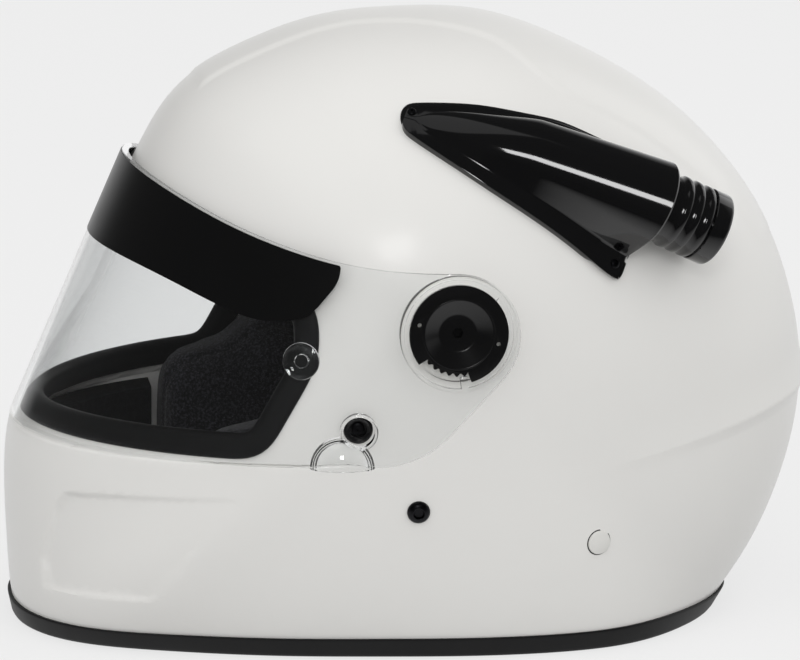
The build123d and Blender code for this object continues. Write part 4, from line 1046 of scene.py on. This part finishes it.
# %% The lower edge of a section
def open_side(share):
    """The body's lower foot, and the flange's rim below it."""
    point, _, _, upward = seat_frame(share)
    foot = beside(point, upward, -feet(share)[1], FLANGE)
    return foot, flange_rim(point, upward, -sideways_to(flange_curve, point, -upward), 1)


last_foot, last_rim = open_side(stations[stations <= TO_END][-1])


def closing_side(share):
    """The same near the hose, where both lines run on to the flange's lower corner."""
    late = (share - TO_END) / (1 - TO_END)
    rim_y, foot_y = between(last_rim[0][1], 69.2, late), between(last_foot[1], 73.3, late)
    spot = np.array((rim_y, np.interp(rim_y, low_edge[:, 0], low_edge[:, 1])))
    rim = [lifted(spot + (0, over_edge), height) for over_edge, height in (
        (0, 0.0), (0, FLANGE - 0.7), (0.25, FLANGE - 0.2), (0.9, FLANGE))]
    return lifted(np.array((foot_y, np.interp(foot_y, body_foot[:10, 0], body_foot[:10, 1]))), FLANGE), rim


print("the lower edge closes from", last_rim[0].round(1))


# %% The sections, each a row of points
def section_at(share):
    """From the flange's upper rim over the arch, down the flank on a tangent and out to the lower rim."""
    point, out, _, upward = seat_frame(share)
    centre, across, over, wide, high = arch_at(share)
    foot, low_rim = open_side(share) if share <= TO_END else closing_side(share)
    span = np.array(((foot - centre) @ across / wide, (foot - centre) @ over / high))
    far = max(np.hypot(*span), 1.0001)
    meet = (math.atan2(span[1], span[0]) % (2 * math.pi)) - math.acos(1 / far)
    arch = [centre + across * wide * math.cos(turn) + over * high * math.sin(turn)
            for turn in np.linspace(0, meet, 33)]
    arch_top = (arch[0] - point) @ upward
    stands = (arch[0] - point) @ out - FLANGE > 0.5
    top_base = beside(point, upward, arch_top, FLANGE) if stands else arch[0]
    edge_at = sideways_to(flange_curve, point, upward)
    row = flange_rim(point, upward, edge_at, -1)
    row += [beside(point, upward, min(edge_at - 0.9, arch_top + 1.2), FLANGE),
            top_base + (arch[0] - top_base) * 0.06 + upward * 0.25, top_base + (arch[0] - top_base) * 0.5]
    flank = foot - arch[-1]
    row += arch + [arch[-1] + flank * t for t in (0.15, 0.3, 0.45, 0.6, 0.75, 0.88)]
    lean_out = low_rim[3] - foot
    lean_length = np.linalg.norm(lean_out)
    lean_out /= lean_length + 1e-9
    row += [foot - flank * min(0.9 / (np.linalg.norm(flank) + 1e-9), 0.1),
            foot + lean_out * 0.35 + out * 0.12, foot + lean_out * min(1.3, lean_length * 0.5)]
    return row + low_rim[::-1]


rows = np.array([section_at(share) for share in stations])
rows[0] = rows[0] * 0.5 + rows[0].mean(0) * 0.5
ARCH_FROM, FOOT_FROM = 5, 43  # the first points of the arch's side and of the foot in a row
for _ in range(3):
    for first, columns in ((2, slice(ARCH_FROM, FOOT_FROM)), (44, slice(FOOT_FROM, None))):
        part = rows[first - 1:, columns]
        rows[first:-1, columns] = (part[:-2] + 2 * part[1:-1] + part[2:]) / 4
print("intake rows:", rows.shape)

# %% The rounded mouth where the spigot comes out, and the mesh
end_row = rows[-1]
toward = end_row[7:49].mean(0) - end_row
toward -= np.outer(toward @ hose_axis, hose_axis)
toward /= np.linalg.norm(toward, axis=1, keepdims=True) + 1e-9
for inward, beyond in ((0.5, 0.75), (1.3, 1.0)):
    ring = end_row.copy()
    ring[7:47] += toward[7:47] * inward + hose_axis * beyond
    rows = np.concatenate([rows, ring[None]])
height, width = rows.shape[:2]
faces = woven(height, width) + [list(range(width)), [(height - 1) * width + j for j in range(width)][::-1]]
intake = piece_from("air_intake_moulding", rows.reshape(-1, 3) + (0, 0, PIVOT), faces)
edited((bpy.ops.mesh.remove_doubles, {"threshold": 0.00001}))
tidy(intake, 38)
dress(intake, gloss_black, "helmet", "intake_gloss", "air_intake")

# %% [markdown]
# The spigot is a turned form: three saw-tooth barbs that grip the hose, then a plain rounded collar.

# %% The hose spigot
barbs = [(12.8, -4.5), (14.4, -4.5), (14.4, 2.6)]
height = 2.6
for _ in range(3):
    barbs += [(15.35, height + 1.6), (15.6, height + 2.0), (15.6, height + 3.6), (15.4, height + 4.0),
              (14.4, height + 4.1), (14.4, height + 5.2)]
    height += 5.2
barbs += [(15.3, height), (15.6, height + 0.3), (15.6, height + 6.5), (15.4, height + 7.3), (14.9, height + 7.8),
          (14.1, height + 8.0), (13.2, height + 8.0), (12.8, height + 7.6)]
spigot = turned("hose_spigot_moulding", barbs, hose_start + (0, 0, PIVOT), hose_axis, 96)
tidy(spigot, 34)
dress(spigot, gloss_black, "helmet", "intake_gloss", "hose_spigot")

# %% [markdown]
# ## Pivot kit
# The cover ring is cut from a disc, with a wide notch whose scallops the visor's peg rides along. The
# dished screw fills its middle. Both are polished nylon, and their edges have a small radius that
# catches the light, which is why they are made again here with bevels.

# %% The ratchet rings
def scalloped():
    """The ring's outline round the pivot: a circle with the scalloped notch at its lower front."""
    radius, notch, depth, scallops, steps = 20.5, 16.85, 0.65, 6, 96
    first, last = math.radians(13.0), math.radians(-52.7)
    points = []
    for step in range(steps + 1):
        turn = first + (last - first) * step / steps
        wave = notch + depth * math.cos(math.pi + 2 * math.pi * scallops * step / steps)
        points.append((wave * math.sin(turn), -wave * math.cos(turn)))
    for turn in np.radians(np.linspace(-54.2, -345.5, 130)):
        points.append((radius * math.sin(turn), -radius * math.cos(turn)))
    return [(y, z + PIVOT) for y, z in points]


for side, name in SIDES:
    ring = prism(f"ratchet_ring_{name}_nylon", scalloped(), 0.9, side * 129.8)
    boolean(ring, on_pivot("seat", [(0, 127), (10.7, 127), (15.3, 131), (0, 131)], side), "DIFFERENCE")
    for turn in (math.radians(15), math.radians(195)):  # two small holes, opposite each other
        at = (0, 16.9 * math.cos(turn), PIVOT - 16.9 * math.sin(turn))
        boolean(ring, turned("hole", [(0, 120), (0.9, 120), (0.9, 140), (0, 140)], at, (side, 0, 0), 24), "DIFFERENCE")
    shaped(ring, "BEVEL", width=0.00035, segments=3, limit_method="ANGLE", angle_limit=math.radians(60))
    tidy(ring, 40)
    dress(ring, satin_black, "helmet", "black_plastic", f"ratchet_ring_{name}")

# %% The dished screws
dish = [(0, 126.5), (7.3, 126.5), (7.8, 126.6), (8.2, 126.8), (14.0, 130.5), (14.25, 130.65), (14.5, 130.7),
        (14.72, 130.68), (14.84, 130.6), (8.4, 125.0), (3.0, 125.0), (3.0, 115.85), (0, 115.85)]
for side, name in SIDES:
    screw = on_pivot(f"pivot_screw_{name}_nylon", dish, side)
    boolean(screw, on_pivot("key", [(0, 124.1), (2.3, 124.1), (2.3, 128), (0, 128)], side, 6), "DIFFERENCE")
    tidy(screw, 34)
    dress(screw, satin_black, "helmet", "black_plastic", f"pivot_screw_{name}")

# %% [markdown]
# ## Small fittings
# The latch post, the tear-off posts, the plugs and the screws are small turned parts. Each is spun
# from its half section with the radii that its mould or its lathe would leave.

# %% Latch post and its rivet
latch_base = latch_point + (0, 0, PIVOT)
post = turned("latch_post_nylon", [(1.5, -1.5), (6.15, -1.5), (6.15, 2.3), (6.0, 2.75), (5.6, 3.0), (4.9, 3.0),
                                   (4.5, 2.7), (4.2, 2.6), (3.6, 2.6), (3.4, 2.3), (3.4, 1.0), (1.5, 1.0)],
              latch_base, latch_out, 64)
tidy(post, 36)
dress(post, satin_black, "helmet", "black_plastic", "latch_post")
rivet = turned("latch_rivet_steel", [(0, -5.2), (2.8, -5.2), (2.8, -4.0), (1.5, -4.0), (1.5, 1.0), (2.8, 1.0),
                                     (2.75, 1.6), (2.3, 2.0), (1.2, 2.2), (0.7, 2.1), (0.5, 1.8), (0, 1.8)],
               latch_base, latch_out, 48)
tidy(rivet, 36)
dress(rivet, dark_steel, "helmet", "dark_metal", "latch_rivet")

# %% Tear-off posts
def to_side(side, at, way):
    """A place and a way of the left side, for the left or the right side."""
    return (side * at[0], at[1], at[2]), (side * way[0], way[1], way[2])


post_clear, shader = start("post_polycarbonate_turned", "#E9EBEB", 0.02, Transmission_Weight=1.0, IOR=1.585)
lathe = pattern(post_clear, "ShaderNodeTexNoise", Scale=700.0)
bump(post_clear, shader, lathe.outputs["Fac"], 0.05, 0.0002)
post_seat = on_tube(-63.0, 131.0)
for side, name in SIDES:
    head = turned(f"tear_off_post_{name}_clear", [
        (0, 0.02), (2.6, 0.02), (2.6, 1.9), (2.9, 2.2), (7.3, 2.2), (7.6, 2.35), (7.7, 2.7), (7.7, 3.4), (7.55, 3.8),
        (7.2, 4.0), (0, 4.0)], *to_side(side, *post_seat), 72)
    tidy(head, 32)
    dress(head, post_clear, "visor", "clear_post", f"tear_off_post_{name}")
    head.visible_diffuse = head.visible_shadow = False

# %% Head-restraint plugs, strap screws and the intake's screws
def side_seat(side, y, z, sunk=0.0):
    """A place on the shell's left or right side, and the way out from it."""
    seat = side_place(np.array(y), np.array(z))
    way = facing(form_share, seat[None])[0]
    return to_side(side, seat - way * sunk + (0, 0, PIVOT), way)


for side, name in SIDES:
    plug = turned(f"restraint_plug_{name}_nylon", [
        (0, -5.0), (2.6, -5.0), (2.6, -1.1), (5.1, -1.1), (5.1, 0.55), (4.95, 0.9), (4.6, 1.1), (0, 1.1)],
        *side_seat(side, 62.4, 48.3), 64)
    tidy(plug, 36)
    dress(plug, white_plastic, "helmet", "white_plastic", f"restraint_plug_{name}")


def one_piece(pieces, material, slot, replaced):
    """Joins fasteners of one kind into the group that stands for their node."""
    only(*pieces)
    bpy.ops.object.join()
    tidy(pieces[0], 36)
    dress(pieces[0], material, "helmet", slot, replaced)


STRAP_Y = -14.9
strap_screw = [(0, -11.4), (2.5, -11.4), (2.5, -0.4), (4.8, -0.4), (4.8, 0.5), (4.5, 1.2), (3.9, 1.8), (3.0, 2.25),
               (2.5, 2.4), (2.3, 2.3), (1.9, 1.2), (0, 1.1)]
one_piece([turned("strap_anchor_screws_black", strap_screw, *side_seat(side, STRAP_Y, 65.7), 48) for side, _ in SIDES],
          dark_steel, "dark_metal", "strap_anchor_screws")
flange_screw = [(0, -3.5), (1.5, -3.5), (1.5, 3.3), (1.9, 3.3), (1.9, 3.6), (1.7, 3.95), (1.3, 4.15), (0.8, 4.25),
                (0.6, 4.2), (0.6, 3.7), (0, 3.7)]
one_piece([turned("air_intake_screws_black", flange_screw, *side_seat(1, y, z, sunk), 32)
           for y, z, sunk in ((-13.4, 225.9, 0.0), (66.9, 165.7, 0.0), (63.2, 213.6, 4.3))],
          dark_steel, "dark_metal", "air_intake_screws")

# %% CAD nodes whose shapes are already right take better finishes
cad_finishes = {
    "pivot_base_left": white_plastic, "pivot_base_right": white_plastic, "pivot_nut_left": dark_steel,
    "pivot_nut_right": dark_steel, "restraint_insert_left": dark_steel, "restraint_insert_right": dark_steel,
    "strap_anchor_nuts": steel, "strap_snap": satin_black, "air_intake_gasket": rubber, "d_ring_upper": steel,
    "d_ring_lower": steel}
for name, material in cad_finishes.items():
    painted(nodes[name], material)
print("CAD nodes finished:", len(cad_finishes))

# %% [markdown]
# ## Linings
# The impact liner is a block of moulded polystyrene beads, dyed black; its surface shows the beads
# as flat, five-sided cells. The comfort pads over it are soft foam in a brushed, speckled knit.

# %% Foam and cloth finishes
foam, shader = start("liner_expanded_polystyrene_black", "#121213", 0.7, Specular_IOR_Level=0.08)
BEADS = 330.0
beads = pattern(foam, "ShaderNodeTexVoronoi", feature="DISTANCE_TO_EDGE", Scale=BEADS)
seam = node(foam, "ShaderNodeMapRange", {"From Max": 0.12}, {"Value": beads.outputs["Distance"]})
bump(foam, shader, seam.outputs[0], 0.35, 0.0003)
each = pattern(foam, "ShaderNodeTexVoronoi", Scale=BEADS)
two_tone(foam, shader, each.outputs["Distance"], "#0B0B0C", "#18181A")
cloth, shader = start("lining_brushed_nylon_knit", "#1C1C1F", 0.92, Specular_IOR_Level=0.1, Sheen_Weight=0.12,
                      Sheen_Roughness=0.5)
loops = pattern(cloth, "ShaderNodeTexNoise", Scale=900.0, Detail=2.0, Roughness=0.7)
speckle = node(cloth, "ShaderNodeMapRange", {"From Min": 0.46, "From Max": 0.66}, {"Value": loops.outputs["Fac"]})
two_tone(cloth, shader, speckle.outputs[0], "#0E0E10", "#3C3C42")
bump(cloth, shader, loops.outputs["Fac"], 0.8, 0.0006)
for name in ("impact_liner", "chin_liner"):
    painted(nodes[name], foam)
print("foam beads every", round(1000 / BEADS, 1), "mm")

# %% [markdown]
# A pad is a foam block in a sewn cover, so its faces belly out between the seams. It is made as
# padded fabric: an even mesh from the pad's solid, a little inflation by Cloth with pressure
# and no gravity, a limit on how far any point may go, then a smooth skin. The cheek pads also get
# their seam's groove.

# %% Padded pieces
def padded(name, node_name, cap, frames):
    """Inflates a copy of a CAD pad as a sewn cover over foam."""
    piece = bpy.data.objects.new(name, nodes[node_name].data.copy())
    view.collection.objects.link(piece)
    only(piece)
    edited((bpy.ops.mesh.remove_doubles, {"threshold": 0.00001}))
    piece.data.remesh_voxel_size = 0.004
    bpy.ops.object.voxel_remesh()
    start_places = places_of(piece)
    puff = piece.modifiers.new("puff", "CLOTH")
    puff.settings.use_pressure = True
    puff.settings.uniform_pressure_force = 4
    puff.settings.effector_weights.gravity = 0
    puff.point_cache.frame_end = frames
    for number in range(1, frames + 1):
        view.frame_set(number)
    bpy.ops.object.modifier_apply(modifier=puff.name)
    view.frame_set(1)
    moved = places_of(piece) - start_places
    length = np.linalg.norm(moved, axis=1, keepdims=True) + 1e-9
    put_back(piece, start_places + moved * np.minimum(1, cap / length))
    shaped(piece, "SMOOTH", factor=0.5, iterations=4)
    shaped(piece, "SUBSURF", levels=1, render_levels=1)
    return piece


SEAM_AT = 76  # the seam's distance from the middle of the helmet
for side, name in SIDES:
    cheek = padded(f"cheek_pad_{name}_cover", f"cheek_pad_{name}", 1.2, 12)
    places = places_of(cheek)
    seam_depth = np.exp(-((np.abs(places[:, 0]) - SEAM_AT) / 1.1) ** 2)
    inward = places.mean(0) - places
    inward[:, 0] = 0
    inward /= np.linalg.norm(inward, axis=1, keepdims=True) + 1e-9
    put_back(cheek, places + inward * seam_depth[:, None])
    tidy(cheek, 70)
    dress(cheek, cloth, "helmet", "lining_cloth", f"cheek_pad_{name}")
crown = padded("crown_pad_cover", "crown_pad", 0.8, 8)
tidy(crown, 70)
dress(crown, cloth, "helmet", "lining_cloth", "crown_pad")
roll = padded("neck_roll_cover", "neck_roll", 1.0, 10)
tidy(roll, 70)
dress(roll, cloth, "helmet", "lining_cloth", "neck_roll")

# %% [markdown]
# The chin strap is flat nylon webbing. It hangs inside the shell and turns in under the chin, where
# one side carries the rings in a sewn loop and the other side ends in a folded tail. It is swept from
# a flat section with rounded selvedges, and a fine twill shows on it.

# %% Webbing straps
webbing, shader = start("strap_nylon_webbing_twill", "#141416", 0.78, Specular_IOR_Level=0.2, Sheen_Weight=0.2,
                        Sheen_Roughness=0.4)
ribs = pattern(webbing, "ShaderNodeTexWave", Scale=140.0, Distortion=1.2, Detail=2.0, bands_direction="DIAGONAL")
bump(webbing, shader, ribs.outputs["Fac"], 0.7, 0.0003)
two_tone(webbing, shader, ribs.outputs["Fac"], "#0E0E10", "#26262A")


def bent(points, radii):
    """An open line in X and Z with arcs at its inner corners."""
    return np.array(rounded(points, [0] + radii + [0]))


UNDER_CHIN = 11.0  # how high the strap lies where it turns in under the chin


def strap_places(side, end):
    """The strap's middle line, as it hangs inside the shell."""
    top, bend, low = [side_seat(1, STRAP_Y, height, 6.8)[0] for height in (78.2, 44.85, 24.0)]
    fall = (low[0] - bend[0]) / (low[2] - bend[2])
    turn_x = low[0] + fall * (UNDER_CHIN - low[2])
    line = [(top[0], top[2]), (bend[0], bend[2]), (turn_x, UNDER_CHIN), (end, UNDER_CHIN)]
    return [(side * x, z) for x, z in line]


def strap(name, line, closed=False):
    """Webbing 25 mm wide and 1.6 mm thick along a line in X and Z."""
    line = np.array(line)
    centres = np.stack([line[:, 0], np.full(len(line), STRAP_Y), line[:, 1] - PIVOT], 1)
    print(name, "is", run_of(centres)[-1].round(), "mm long")
    run = np.roll(centres, -1, 0) - np.roll(centres, 1, 0) if closed else np.gradient(centres, axis=0)
    run /= np.linalg.norm(run, axis=1, keepdims=True)
    over = np.cross(run, (0, 1, 0))
    section = [(-12.5, 0.35), (-12.1, 0.75), (-11.4, 0.8), (11.4, 0.8), (12.1, 0.75), (12.5, 0.35), (12.5, -0.35),
               (12.1, -0.75), (11.4, -0.8), (-11.4, -0.8), (-12.1, -0.75), (-12.5, -0.35)]
    return carried(name, centres, np.tile((0, 1.0, 0), (len(line), 1)), over, section, closed)


left = strap("chin_strap_left_webbing", bent(strap_places(1, 58.25), [120, 7]))
loop = strap("strap_loop_webbing", arc((54, UNDER_CHIN), 5.05, 0, 352.5, 48), closed=True)
only(left, loop)
bpy.ops.object.join()
dress(left, webbing, "helmet", "webbing", "chin_strap_left")
folded = strap_places(-1, 50.0) + [(-50.0, 14.2), (-86.0, 14.2)]
right = strap("chin_strap_right_webbing", bent(folded, [120, 7, 1.55, 1.55]))
dress(right, webbing, "helmet", "webbing", "chin_strap_right")
